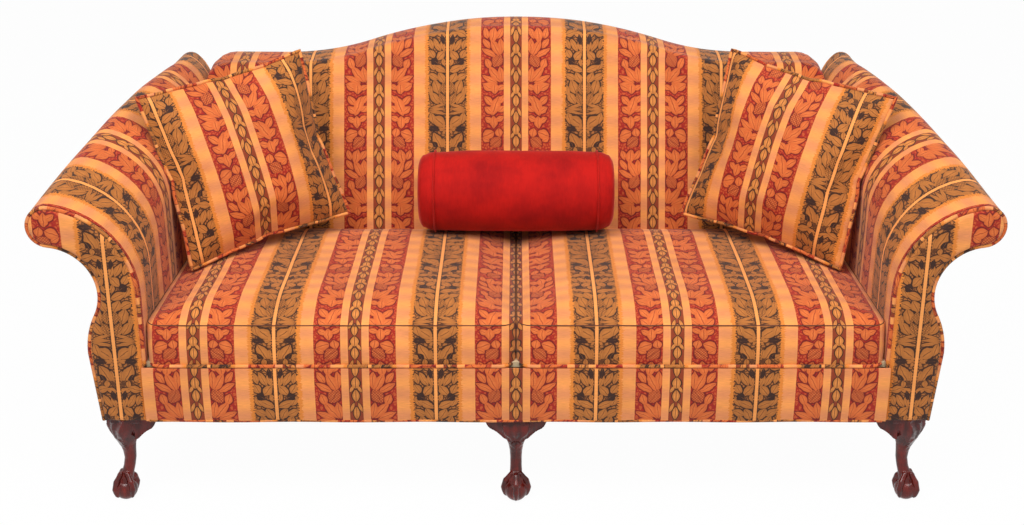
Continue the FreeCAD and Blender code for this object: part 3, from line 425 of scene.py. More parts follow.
def leaf_group():
    """One pointed leaf: 0 in its middle, 1 at its edge and along its vein, more outside."""
    tree, source, target = new_group(
        "leaf", [("Cloth", "Vector", None), ("Place", "Vector", None), ("Turn", "Vector", None),
                 ("Size", "Vector", None)], [("Distance", "Float")])
    local = put(tree, "ShaderNodeMapping", list(source.outputs)[:4], vector_type="TEXTURE")
    parts = put(tree, "ShaderNodeSeparateXYZ", [local.outputs[0]])
    wide = maths(tree, "ABSOLUTE", parts.outputs[1])
    body = maths(tree, "MULTIPLY_ADD", parts.outputs[0], parts.outputs[0], wide)
    vein = maths(tree, "MULTIPLY_ADD", wide, -5.0, 1.0)
    tree.links.new(maths(tree, "MAXIMUM", body, vein), target.inputs[0])
    return tree


# How much longer and fuller the leaves are drawn than the table has them.
LEAF_LONG = 1.12
LEAF_FULL = 1.42


def nearest_leaf(tree, leaf, cloth, leaves):
    """The least distance to any leaf of a table."""
    nearest = None
    for across, along, turn, half_length, half_width in leaves:
        node = tree.nodes.new("ShaderNodeGroup")
        node.node_tree = leaf
        tree.links.new(cloth, node.inputs[0])
        node.inputs[1].default_value = (across / 1000, along / 1000, 0)
        node.inputs[2].default_value = (0, 0, math.radians(turn))
        node.inputs[3].default_value = (half_length * LEAF_LONG / 1000, half_width * LEAF_FULL / 1000, 1)
        distance = node.outputs[0]
        nearest = distance if nearest is None else maths(tree, "MINIMUM", nearest, distance)
    return nearest


def lattice(tree, across, along, pitch):
    """Crossing diagonal lines, 1 on a line."""
    lines = None
    for sign in (1, -1):
        slope = maths(tree, "MULTIPLY_ADD", along, float(sign), across)
        wave = maths(tree, "SINE", maths(tree, "MULTIPLY", slope, math.pi / pitch))
        line = maths(tree, "LESS_THAN", maths(tree, "ABSOLUTE", wave), 0.42)
        lines = line if lines is None else maths(tree, "MAXIMUM", lines, line)
    return lines


# Distances across the cloth from the middle of a green stripe: its stem with the beaded rims, the ends
# of the green and of its ochre edge, the red stripe and the start of the narrow stripe.
STEM_HALF = 0.0036
BEAD_MIDDLE, BEAD_HALF, BEAD_PITCH = 0.0048, 0.0012, 0.007
GREEN_END, OCHRE_END, RAGGED = 0.0535, 0.0620, 0.012
RED_MIDDLE, RED_HALF = 0.1125, 0.0285
NARROW_START = 0.157
BAND_PITCH = 0.052
HATCH_PITCH = 0.0062
HAND_DRAWN = 0.0045


def damask_group(colours):
    """The striped damask: its colours, the height of its weave and its roughness at a place on the cloth."""
    tree, source, target = new_group(
        "damask", [("Cloth", "Vector", None), ("Across", "Float", 0.0), ("Along", "Float", 0.0)],
        [("Colour", "Color"), ("Weave", "Float"), ("Roughness", "Float")])
    shift = put(tree, "ShaderNodeCombineXYZ", [source.outputs[1], source.outputs[2], 0.0]).outputs[0]
    place = vector(tree, "ADD", source.outputs[0], shift)
    wander = put(tree, "ShaderNodeTexNoise", [place, None, 95.0, 1.0, 0.5]).outputs[1]
    drift = vector(tree, "SUBTRACT", wander, (0.5, 0.5, 0.5))
    drawn = vector(tree, "ADD", place, vector(tree, "MULTIPLY", drift, (HAND_DRAWN, HAND_DRAWN, 0.0)))

    def folded(at):
        """A place within the mirrored repeat, and how far along the cloth it is."""
        parts = put(tree, "ShaderNodeSeparateXYZ", [at])
        across = maths(tree, "ABSOLUTE", maths(tree, "WRAP", parts.outputs[0], HALF_REPEAT, -HALF_REPEAT))
        along = maths(tree, "WRAP", parts.outputs[1], REPEAT_ALONG, 0.0)
        return across, along, parts.outputs[1]

    def wave(pitch):
        """Waves along the cloth."""
        return maths(tree, "SINE", maths(tree, "MULTIPLY", run, 2 * math.pi / pitch))

    def shades(distance, body, light, edge, ground):
        """The colours of a leaf, its outline and the ground, by the distance from the leaf's middle."""
        return ramp(tree, maths(tree, "MULTIPLY", distance, 0.5),
                    [(0.0, light), (0.26, body), (0.40, body), (0.45, edge), (0.54, edge), (0.60, ground),
                     (1.0, ground)])

    across, along, run = folded(place)
    leaf_across, leaf_along, _ = folded(drawn)
    leafy = put(tree, "ShaderNodeCombineXYZ", [leaf_across, leaf_along, 0.0]).outputs[0]
    short_along = maths(tree, "WRAP", run, NARROW_REPEAT, 0.0)
    narrow = put(tree, "ShaderNodeCombineXYZ", [across, short_along, 0.0]).outputs[0]
    leaf = leaf_group()
    green, red, seeds, spots = (nearest_leaf(tree, leaf, leafy, leaves)
                                for leaves in (GREEN_LEAVES, RED_LEAVES, SEEDS, DARK_SPOTS))
    tiny = nearest_leaf(tree, leaf, narrow, NARROW_LEAVES)
    cross_lines = lattice(tree, across, along, HATCH_PITCH)
    scales = put(tree, "ShaderNodeTexVoronoi", feature="DISTANCE_TO_EDGE")
    tree.links.new(leafy, scales.inputs["Vector"])
    scales.inputs["Scale"].default_value = 135.0
    small_leaves = put(tree, "ShaderNodeMapRange", [scales.outputs[0], 0.10, 0.16, 0.0, 0.85]).outputs[0]

    green_cloth = shades(green, colours["leaf"], colours["leaf_light"], colours["outline"], colours["olive"])
    in_ground = maths(tree, "MULTIPLY", maths(tree, "GREATER_THAN", green, 1.16), small_leaves)
    green_cloth = mixed(tree, in_ground, green_cloth, colours["leaf"])
    green_cloth = mixed(tree, maths(tree, "LESS_THAN", spots, 0.9), green_cloth, colours["outline"])
    red_cloth = shades(red, colours["petal"], colours["petal_light"], colours["red_dark"], colours["red"])
    in_ground = maths(tree, "MULTIPLY", maths(tree, "GREATER_THAN", red, 1.25), small_leaves)
    red_cloth = mixed(tree, maths(tree, "MULTIPLY", in_ground, 0.7), red_cloth, colours["petal"])
    tiny_cloth = shades(tiny, colours["leaf_light"], colours["beige"], colours["outline"], colours["rust"])
    seed_lines = maths(tree, "MULTIPLY", maths(tree, "LESS_THAN", seeds, 0.86), cross_lines)
    green_cloth = mixed(tree, maths(tree, "MULTIPLY", seed_lines, 0.6), green_cloth, colours["outline"])
    red_cloth = mixed(tree, maths(tree, "MULTIPLY", seed_lines, 0.8), red_cloth, colours["red_dark"])

    cloth = mixed(tree, maths(tree, "MULTIPLY_ADD", wave(BAND_PITCH), 0.5, 0.5, clamp=True), colours["beige"],
                  colours["beige_pink"])
    teeth_at = vector(tree, "MULTIPLY", place, (120.0, 420.0, 1.0))
    teeth = put(tree, "ShaderNodeTexNoise", [teeth_at, None, 1.0, 0.0]).outputs[0]
    ragged = maths(tree, "MULTIPLY_ADD", teeth, RAGGED, across)
    cloth = mixed(tree, maths(tree, "LESS_THAN", ragged, OCHRE_END), cloth, colours["ochre"])
    cloth = mixed(tree, maths(tree, "LESS_THAN", ragged, GREEN_END), cloth, green_cloth)
    cloth = mixed(tree, maths(tree, "COMPARE", across, RED_MIDDLE, RED_HALF), cloth, red_cloth)
    cloth = mixed(tree, maths(tree, "GREATER_THAN", across, NARROW_START), cloth, tiny_cloth)
    beads = maths(tree, "GREATER_THAN", wave(BEAD_PITCH), -0.2)
    rim = maths(tree, "MULTIPLY", maths(tree, "COMPARE", across, BEAD_MIDDLE, BEAD_HALF), beads)
    cloth = mixed(tree, rim, cloth, colours["outline"])
    cloth = mixed(tree, maths(tree, "LESS_THAN", across, STEM_HALF), cloth, colours["beige"])

    large = put(tree, "ShaderNodeTexNoise", [place, None, 7.0, 2.0]).outputs[0]
    fade = ramp(tree, large, [(0.3, (0.87, 0.64, 0.42, 1)), (0.7, (1.07, 0.80, 0.54, 1))])
    slub_at = vector(tree, "MULTIPLY", place, (60.0, 900.0, 1.0))
    slub = put(tree, "ShaderNodeTexNoise", [slub_at, None, 1.0, 2.0]).outputs[0]
    thread_tone = ramp(tree, slub, [(0.25, (0.84, 0.84, 0.84, 1)), (0.75, (1.1, 1.1, 1.1, 1))])
    for tone in (fade, thread_tone):
        cloth = mixed(tree, 1.0, cloth, tone, "MULTIPLY")
    ribs, threads = (put(tree, "ShaderNodeTexWave", [place, 260.0], wave_type="BANDS",
                         bands_direction=direction).outputs[1] for direction in "YX")
    tree.links.new(cloth, target.inputs[0])
    tree.links.new(maths(tree, "MULTIPLY_ADD", threads, 0.5, ribs), target.inputs[1])
    tree.links.new(maths(tree, "MULTIPLY_ADD", ribs, 0.12, 0.62), target.inputs[2])
    return tree


def shader(material, colour=None, roughness=None, height=None, strength=0.3, distance=0.001, **constants):
    """Sets a material's Principled shader up, with a bump from a height."""
    tree = material.node_tree
    surface = tree.nodes["Principled BSDF"]
    for name, value in constants.items():
        surface.inputs[name.replace("_", " ")].default_value = value
    for name, value in (("Base Color", colour), ("Roughness", roughness)):
        if isinstance(value, bpy.types.NodeSocket):
            tree.links.new(value, surface.inputs[name])
        elif value is not None:
            surface.inputs[name].default_value = value
    if height is not None:
        bump = put(tree, "ShaderNodeBump")
        bump.inputs["Strength"].default_value = strength
        bump.inputs["Distance"].default_value = distance
        tree.links.new(height, bump.inputs["Height"])
        tree.links.new(bump.outputs[0], surface.inputs["Normal"])
    return surface


def new_material(name):
    """A material with the usual Principled shader."""
    material = bpy.data.materials.new(name)
    material.use_nodes = True
    return material


def group_node(material, tree):
    """Puts a node group into a material."""
    node = material.node_tree.nodes.new("ShaderNodeGroup")
    node.node_tree = tree
    return node


def damask_material(name, tree, across, along):
    """Damask with the design moved across and along, as each piece is cut from the cloth."""
    material = new_material(name)
    cloth = put(material.node_tree, "ShaderNodeUVMap", uv_map="cloth")
    node = group_node(material, tree)
    material.node_tree.links.new(cloth.outputs[0], node.inputs[0])
    node.inputs[1].default_value = across
    node.inputs[2].default_value = along
    shader(material, node.outputs[0], node.outputs[2], node.outputs[1], 0.35, 0.0006,
           Sheen_Weight=0.12, Sheen_Roughness=0.5, Specular_IOR_Level=0.25)
    return material

# The upholstery of the frame.

BACK_COLUMNS = 105
BACK_FACE_STEPS = 34
BACK_ROLL_STEPS = 8
BACK_TOP_STEPS = 6
BACK_SWELL = 0.006
ARM_STEPS = 10
ARM_COLUMNS = 52
SHELL_THICK = 0.008
OUTSIDE_THICK = 0.004
TOUCH = 0.001
PANEL_STEPS = 16
PANEL_THICK = 0.006
# How far the face of an arm's front panel rises and draws in, from its edge to its middle.
PANEL_CROWN = ((0.0040, 0.0018), (0.0022, 0.0034), (0.0008, 0.0050))
BORDER_HALF = 0.7985
BORDER_COLUMNS, BORDER_LEVELS = 160, 14
BORDER_WELT_HALF = 0.791875
BORDER_WELT_STEPS = 210
DECK_COLUMNS, DECK_LINES = 96, 44
DECK_NARROWS = 0.0105


def back_cloth(material):
    """The padded back: up its leaning face, over the rolled camel edge and down to the outside back."""
    columns = []
    foot = (DECK_TOP + TOUCH - SEAT_HEIGHT) / math.cos(BACK_LEAN)
    for index in range(BACK_COLUMNS):
        across = between(-BACK_HALF, BACK_HALF, index / (BACK_COLUMNS - 1))
        top = camel_rise(across)
        edge = top - BACK_EDGE
        column = []
        for step in range(BACK_FACE_STEPS):
            rise = between(foot, edge, step / BACK_FACE_STEPS)
            full = smooth_step(foot, foot + 0.2, rise) * smooth_step(-top, -top + 0.25, -rise)
            column.append((face_point(across, rise, -BACK_SWELL * full), (across, rise)))
        for step in range(BACK_ROLL_STEPS + 1):
            turn = math.pi / 2 * step / BACK_ROLL_STEPS
            point = face_point(across, edge + BACK_EDGE * math.sin(turn),
                               BACK_EDGE - BACK_EDGE * math.cos(turn))
            column.append((point, (across, edge + BACK_EDGE * turn)))
        last, (_, run) = column[-1]
        height = SEAT_HEIGHT + top * math.cos(BACK_LEAN)
        end = Vector((across, rear_depth(height) - ORIGIN_DEPTH, height - 0.001))
        for step in range(1, BACK_TOP_STEPS + 1):
            share = step / BACK_TOP_STEPS
            point = last.lerp(end, share)
            point.z += 0.004 * math.sin(math.pi * share)
            column.append((point, (across, run + (end - last).length * share)))
        columns.append(column)
    back = cloth_sheet("back_cover", columns, SHELL_THICK)
    ruffled(back, 0.0016, 6.0, 3.0)
    rounded_shading(back, 70)
    finish_piece(back, "frame", material, "damask", "inside_back")


def arm_columns(sign, section_at, first, last):
    """Columns of an arm's cloth from front to back; each point ends on the plane of the outside back."""
    rear = with_runs(section_at(ARM_STRAIGHT)[first:last])
    columns = []
    for place in range(ARM_COLUMNS + 1):
        column = []
        for index, (_, rear_z, _) in enumerate(rear):
            depth = between(ARM_FRONT_DEPTH, rear_depth(rear_z) - TOUCH, place / ARM_COLUMNS)
            x, z, run = with_runs(section_at(depth)[first:last])[index]
            column.append((Vector((sign * x, depth - ORIGIN_DEPTH, z)), (depth, run)))
        columns.append(column)
    return columns


def cached_sections(foot):
    """The arm's section by depth, each worked out once."""
    known = {}

    def section(depth):
        """The section at a depth."""
        key = round(depth, 5)
        if key not in known:
            known[key] = arm_section(depth, ARM_STEPS, foot)
        return known[key]
    return section


def arm_cloths(inner_material, outer_material):
    """Both arms: the cloth up the inside and over the scroll, and the outside panel under it."""
    for sign in (1, -1):
        section = cached_sections(DECK_TOP + TOUCH)
        columns = arm_columns(sign, section, 0, 4)
        arm = cloth_sheet(side_name("arm_cover", sign), columns, SHELL_THICK * sign)
        outward(arm)
        ruffled(arm, 0.0022, 7.0, sign)
        rounded_shading(arm, 70)
        finish_piece(arm, "frame", inner_material, "damask", side_name("inside_arm", sign))
        columns = arm_columns(sign, section, 4, 7)
        panel = cloth_sheet(side_name("arm_outside_cover", sign), columns, OUTSIDE_THICK * sign)
        outward(panel)
        rounded_shading(panel, 70)
        finish_piece(panel, "frame", outer_material, "damask", side_name("outside_arm", sign))


def thinned(points, least):
    """A path without the points that lie closer than a least distance to the one before."""
    path = []
    for point in points:
        if not path or (point - path[-1]).length > least:
            path.append(point)
    return path


def arm_fronts(panel_material, welt_material):
    """The scroll-shaped panels on the arm fronts, with a welt round their upper and outer edges."""
    welt = bpy.context.scene.sofa_sizes.welt_diameter
    for sign in (1, -1):
        section = arm_section(0.0, PANEL_STEPS, FLOOR_TO_RAIL, welt * 0.8)
        outline = thinned([Vector((sign * x, ARM_FRONT_DEPTH - ORIGIN_DEPTH, z))
                           for stretch in section for x, z in stretch], 0.0005)
        panel = mesh_object(side_name("arm_front_cover", sign), outline, [tuple(range(len(outline)))])
        select_only(panel)
        bpy.ops.object.mode_set(mode="EDIT")
        bpy.ops.mesh.select_all(action="SELECT")
        bpy.ops.mesh.extrude_region_move(TRANSFORM_OT_translate={"value": (0, -PANEL_THICK, 0)})
        for rise, inset in PANEL_CROWN:
            bpy.ops.mesh.inset(thickness=inset, depth=0.0)
            bpy.ops.transform.translate(value=(0, -rise, 0))
        bpy.ops.mesh.select_all(action="SELECT")
        bpy.ops.mesh.normals_make_consistent(inside=False)
        bpy.ops.object.mode_set(mode="OBJECT")
        lay_cloth(panel, [(abs(vertex.co.x), vertex.co.z) for vertex in panel.data.vertices])
        rounded_shading(panel, 60)
        finish_piece(panel, "frame", panel_material, "damask", side_name("arm_front_panel", sign))
        section = arm_section(0.0, 20, DECK_TOP - 0.02, welt / 2)
        path = thinned([Vector((sign * x, ARM_FRONT_DEPTH - welt / 2 - ORIGIN_DEPTH, z))
                        for stretch in section for x, z in stretch], 0.004)
        cord = tube(side_name("arm_front_welt", sign), path, welt / 2)
        finish_piece(cord, "frame", welt_material, "damask", side_name("arm_panel_welt", sign))


def border_pieces(cloth_material, welt_material):
    """The upholstered border under the cushions, and the welt along its lower edge."""
    columns = []
    for index in range(BORDER_COLUMNS + 1):
        across = between(-BORDER_HALF, BORDER_HALF, index / BORDER_COLUMNS)
        column = []
        for level in range(BORDER_LEVELS + 1):
            share = level / BORDER_LEVELS
            height = between(FLOOR_TO_RAIL + 0.005, DECK_TOP, share)
            proud = 0.0035 * math.sin(math.pi * share) ** 0.6 + 0.0006 * math.sin(across * 41)
            column.append((Vector((across, -ORIGIN_DEPTH - proud, height)), (across, height - FLOOR_TO_RAIL)))
        columns.append(column)
    border = cloth_sheet("border_cover", columns, SHELL_THICK)
    rounded_shading(border, 70)
    finish_piece(border, "frame", cloth_material, "damask", "front_border")
    radius = bpy.context.scene.sofa_sizes.welt_diameter / 2
    path = []
    for step in range(BORDER_WELT_STEPS + 1):
        across = between(-BORDER_WELT_HALF, BORDER_WELT_HALF, step / BORDER_WELT_STEPS)
        height = FLOOR_TO_RAIL + radius + 0.0007 * math.sin(across * 23)
        path.append(Vector((across, -ORIGIN_DEPTH - radius, height)))
    cord = tube("border_welt", path, radius)
    finish_piece(cord, "frame", welt_material, "damask", "front_border_welt")


def outside_back_cover(material):
    """The flat panel over the back of the frame, the camel line and both arms' ends."""
    panel = bpy.data.objects.new("outside_back_cover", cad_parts["outside_back"].data.copy())
    bpy.context.scene.collection.objects.link(panel)
    outward(panel)
    lean = math.atan(REAR_SLOPE)
    lay_cloth(panel, [(vertex.co.x, vertex.co.z / math.cos(lean)) for vertex in panel.data.vertices])
    rounded_shading(panel, 35)
    finish_piece(panel, "frame", material, "damask", "outside_back")


def deck_cover(material):
    """The plain cloth deck under the loose cushions, quilted in rows."""
    low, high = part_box("deck_pad")
    columns = []
    for index in range(DECK_COLUMNS + 1):
        column = []
        for line in range(DECK_LINES + 1):
            share = line / DECK_LINES
            y = between(low.y, high.y, share)
            half = between(high.x, high.x - DECK_NARROWS, share)
            x = between(-half, half, index / DECK_COLUMNS)
            quilt = 0.0022 * abs(math.sin(math.pi * index / 6)) * abs(math.sin(math.pi * line / 4))
            edge = min(index, DECK_COLUMNS - index, 4) / 4 * min(line, DECK_LINES - line, 4) / 4
            column.append((Vector((x, y, high.z - 0.0028 + quilt * edge)), (x, y)))
        columns.append(column)
    deck = cloth_sheet("deck_cover", columns, 0.012)
    outward(deck)
    rounded_shading(deck, 60)
    finish_piece(deck, "frame", material, "deck_cloth", "deck_pad")


# The loose cushions.

CUSHION_FOOT = 0.3335
BAND_HIGH = 0.092
CROWN = 0.034
CUSHION_ROUND = 0.030
CUSHION_GAP = 0.0006
FRONT_DRAW = 0.014
CORNER_TURNS = 5
# Steps along the front, the outer side, the rear and the inner side of a cushion.
PER_SIDE = (60, 46, 60, 46)
# How wide the rings under a cushion are, and how far its band bows forward at each level.
UNDERSIDE = (0.02, 0.25, 0.5, 0.75, 0.93)
BAND = ((0.0, 0.0), (0.06, 0.0015), (0.25, 0.0045), (0.5, 0.0060), (0.75, 0.0045), (0.94, 0.0015), (1.0, 0.0))
TOP_STEPS = 26


def arm_inside(depth):
    """How far from the middle the inside of an arm is, at a depth."""
    share = min(max((depth - ARM_FRONT_DEPTH) / (ARM_STRAIGHT - ARM_FRONT_DEPTH), 0), 1)
    return between(ARM_FRONT["inside"], ARM_REAR["inside"], share)


def back_depth(height, gap):
    """The depth of the back's face at a height, less a gap."""
    return SEAT_DEPTH + (height - SEAT_HEIGHT) * math.tan(BACK_LEAN) - gap


def cushion_ring(level, bow):
    """Points round the right-hand cushion at a level of its band, from its inner front corner on."""
    height = CUSHION_FOOT + BAND_HIGH * level
    front, rear = FRONT_DRAW * level - bow, back_depth(height, 0.0008)
    inner = CUSHION_GAP + CUSHION_ROUND
    near, far = front + CUSHION_ROUND, rear - CUSHION_ROUND
    centres = [(inner, near, 180), (arm_inside(front) - CUSHION_GAP - CUSHION_ROUND, near, 270),
               (arm_inside(rear) - CUSHION_GAP - CUSHION_ROUND, far, 0), (inner, far, 90)]

    def corner_point(x, depth, degrees):
        """A point of a rounded corner."""
        angle = math.radians(degrees)
        return Vector((x + CUSHION_ROUND * math.cos(angle), depth + CUSHION_ROUND * math.sin(angle), 0))

    ring = []
    for index, (x, depth, start) in enumerate(centres):
        ring += [corner_point(x, depth, start + 90 * step / CORNER_TURNS) for step in range(CORNER_TURNS + 1)]
        last, target = ring[-1], corner_point(*centres[(index + 1) % 4])
        ring += [last.lerp(target, step / PER_SIDE[index]) for step in range(1, PER_SIDE[index])]
    return [Vector((point.x, point.y - ORIGIN_DEPTH, height)) for point in ring]


def middle_of(points):
    """The mean of some points."""
    return sum(points, Vector()) / len(points)


def cushion_rings():
    """The rings of the right-hand cushion: in from under it, up its band and over its crown."""
    foot_ring, top_ring = cushion_ring(0.0, 0.0), cushion_ring(1.0, 0.0)
    foot_middle, top_middle = middle_of(foot_ring), middle_of(top_ring)
    rings = []
    for share in UNDERSIDE:
        lift = Vector((0, 0, 0.0005 * (share < 0.9)))
        rings.append([foot_middle.lerp(point, share) + lift for point in foot_ring])
    rings += [cushion_ring(level, bow) for level, bow in BAND]
    for step in range(1, TOP_STEPS + 1):
        away = 1 - step / TOP_STEPS * 0.985
        rise = CROWN * (1 - (1 - min((1 - away) * 1.9, 1.0)) ** 2.6)
        ring = []
        for point in top_ring:
            lifted = top_middle.lerp(point, away)
            lifted.z = point.z + rise
            ring.append(lifted)
        rings.append(ring)
    return rings


def ring_faces(rings, count):
    """Faces between rings of one count of points."""
    return [(low * count + side, low * count + (side + 1) % count, (low + 1) * count + (side + 1) % count,
             (low + 1) * count + side) for low in range(rings - 1) for side in range(count)]


def seat_cushion(sign, material, welt_material, seam_shade_material):
    """A boxed seat cushion: a crowned top, bowed bands, a welt below and a plain seam above, whose crease is drawn
    as a thin dark cord of painted shade.
    """
    rings = cushion_rings()
    count = len(rings[0])
    points = [point for ring in rings for point in ring]
    faces = ring_faces(len(rings), count)
    for first, direction in ((0, -1), ((len(rings) - 1) * count, 1)):
        pole = len(points)
        points.append(middle_of(points[first:first + count]))
        faces += [(first + step, first + (step + direction) % count, pole) for step in range(count)]
    if sign < 0:
        points = [Vector((-point.x, point.y, point.z)) for point in points]
    cushion = mesh_object(side_name("seat_cushion", sign), points, faces)
    outward(cushion)
    seam_height = CUSHION_FOOT + BAND_HIGH
    for vertex in cushion.data.vertices:
        above = smooth_step(seam_height, seam_height + 0.02, vertex.co.z)
        vertex.co.z += above * 0.0035 * noise.noise(vertex.co * 7 + Vector((sign, 0, 4)))
        front = smooth_step(0.40, 0.414, -vertex.co.y)
        vertex.co.y -= front * 0.0012 * math.sin(vertex.co.x * 37 + sign) * (1 - above)
    limit_rear_and_sides(cushion, sign)
    lay_cloth(cushion, [(x, y + ORIGIN_DEPTH + min(z - seam_height, 0.0) + BAND_HIGH)
                        for x, y, z in (vertex.co for vertex in cushion.data.vertices)])
    rounded_shading(cushion, 80)
    body = "seat_cushion_left" if sign < 0 else "seat_cushion_right"
    finish_piece(cushion, body, material, "damask", side_name("seat_cushion_cover", sign),
                 side_name("seat_cushion_core", sign))
    # The welt is a cord of damask; the thin dark cord along the top seam is painted shade in its crease.
    for name, level, radius, finish, out in (("seat_cushion_welt", 0.0, 0.0042, welt_material, 0.003),
                                             ("seat_cushion_seam", 1.0, 0.0012, seam_shade_material, 0.0004)):
        path = []
        for point in cushion_ring(level, out):
            moved = Vector((point.x * sign, point.y, point.z + (radius if level == 0.0 else 0.0)))
            moved.x -= sign * (radius + 0.0004 if abs(point.x) > 0.4 else -radius - 0.0004)
            path.append(moved)
        path = thinned(path, 0.003)
        if (path[0] - path[-1]).length < 0.003:
            path.pop()
        line = tube(side_name(name, sign), path, radius, 8, closed=True)
        finish_piece(line, body, finish, "damask")


def limit_rear_and_sides(cushion, sign):
    """Presses a cushion flat where it rests on the deck and lies against the arm, the back and its twin."""
    for vertex in cushion.data.vertices:
        point = vertex.co
        point.z = max(point.z, CUSHION_FOOT)
        depth = point.y + ORIGIN_DEPTH
        point.y = min(point.y, back_depth(point.z, 0.0006) - ORIGIN_DEPTH)
        across = min(max(point.x * sign, 0.0004), arm_inside(depth) - 0.0004)
        point.x = across * sign


# A pillow's side, the distance between its corners once filled, and how much of its cut it keeps.
PILLOW_SIDE = 0.405
PILLOW_CORNERS = 0.412
SQUARENESS = 0.75
PILLOW_CELLS = 44
PILLOW_FRAMES = 20
PILLOW_HALF_THICK = 0.059
PILLOW_YAW, PILLOW_LEAN, PILLOW_ROLL = math.radians(32), math.radians(17), math.radians(8)


def pillow_mesh(name):
    """A flat closed square bag, ready to be blown up: two sheets joined at their rims, and its rim."""
    half = PILLOW_SIDE / 2 * 1.045
    count = PILLOW_CELLS
    points, faces, places = [], [], {}

    def key(row, column, side):
        """Names a point; the two sheets share those on the rim."""
        return row, column, 0 if row in (0, count) or column in (0, count) else side

    for side in (1, -1):
        for row in range(count + 1):
            for column in range(count + 1):
                at = key(row, column, side)
                if at in places:
                    continue
                x, y = (between(-half, half, part / count) for part in (column, row))
                bulge = (1 - (x / half) ** 2) * (1 - (y / half) ** 2)
                places[at] = len(points)
                points.append(Vector((x, y, side * 0.030 * bulge ** 0.6 if at[2] else 0.0)))
    for side in (1, -1):
        for row in range(count):
            for column in range(count):
                ring = [places[key(row + up, column + over, side)]
                        for up, over in ((0, 0), (0, 1), (1, 1), (1, 0))]
                faces.append(tuple(ring if side > 0 else reversed(ring)))
    obj = mesh_object(name, points, faces)
    lay_cloth(obj, [(point.x, point.y) for point in points])
    ahead, back = range(count), range(count, 0, -1)
    rim = [(0, c) for c in ahead] + [(r, count) for r in ahead] + [(count, c) for c in back] + [(r, 0) for r in back]
    return obj, [places[(row, column, 0)] for row, column in rim]


def blown_up(obj):
    """Fills a closed bag of cloth by simulation, with no weight, and keeps the result."""
    scene = bpy.context.scene
    cloth = obj.modifiers.new("fill", "CLOTH")
    settings = cloth.settings
    settings.quality = 5
    settings.mass = 0.25
    settings.tension_stiffness = 18
    settings.compression_stiffness = 12
    settings.shear_stiffness = 6
    settings.bending_stiffness = 0.6
    settings.use_pressure = True
    settings.uniform_pressure_force = 3.4
    settings.effector_weights.gravity = 0
    cloth.collision_settings.use_collision = False
    for number in range(1, PILLOW_FRAMES + 1):
        scene.frame_set(number)
    apply_modifiers(obj)
    scene.frame_set(1)


def pillows(left_material, right_material, welt_material):
    """Two square knife-edge pillows that lean in the corners, welted with their own cloth."""
    filled, rim = pillow_mesh("pillow_shape")
    flat = [vertex.co.copy() for vertex in filled.data.vertices]
    blown_up(filled)
    for vertex, cut in zip(filled.data.vertices, flat):
        vertex.co.x = between(vertex.co.x, cut.x, SQUARENESS)
        vertex.co.y = between(vertex.co.y, cut.y, SQUARENESS)
    thick = max(abs(vertex.co.z) for vertex in filled.data.vertices)
    wide = max(abs(vertex.co.x) for vertex in filled.data.vertices)
    for vertex in filled.data.vertices:
        vertex.co.z *= PILLOW_HALF_THICK / thick
        vertex.co.x *= PILLOW_CORNERS / 2 / wide
        vertex.co.y *= PILLOW_CORNERS / 2 / wide
    for sign, material in ((-1, left_material), (1, right_material)):
        low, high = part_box(side_name("pillow_cover", sign))
        centre = (low + high) / 2
        turn = (Matrix.Rotation(PILLOW_YAW, 4, "Z") @ Matrix.Rotation(math.pi / 2 - PILLOW_LEAN, 4, "X")
                @ Matrix.Rotation(PILLOW_ROLL, 4, "Z"))
        mirror = Matrix.Scale(-1, 4, Vector((1, 0, 0))) if sign > 0 else Matrix.Identity(4)
        place = Matrix.Translation(centre) @ mirror @ turn
        pillow = bpy.data.objects.new(side_name("pillow", sign), filled.data.copy())
        bpy.context.scene.collection.objects.link(pillow)
        ruffled(pillow, 0.004, 9.0, 5.0 + sign)
        pillow.data.transform(place)
        if sign > 0:
            pillow.data.flip_normals()
        path = [pillow.data.vertices[index].co.copy() for index in rim]
        soften = pillow.modifiers.new("soften", "SUBSURF")
        soften.levels = soften.render_levels = 1
        apply_modifiers(pillow)
        rounded_shading(pillow, 80)
        body = side_name("pillow", sign)
        finish_piece(pillow, body, material, "damask", side_name("pillow_cover", sign),
                     side_name("pillow_fill", sign))
        cord = tube(side_name("pillow_welt", sign), path, 0.0042, 8, closed=True)
        finish_piece(cord, body, welt_material, "damask")
    bpy.data.objects.remove(filled)


BOLSTER_EDGE = 0.036
BOLSTER_SIDES = 96
END_STEPS, ROUND_STEPS, LENGTH_STEPS = 5, 8, 40
SEAM_SIDES = 72


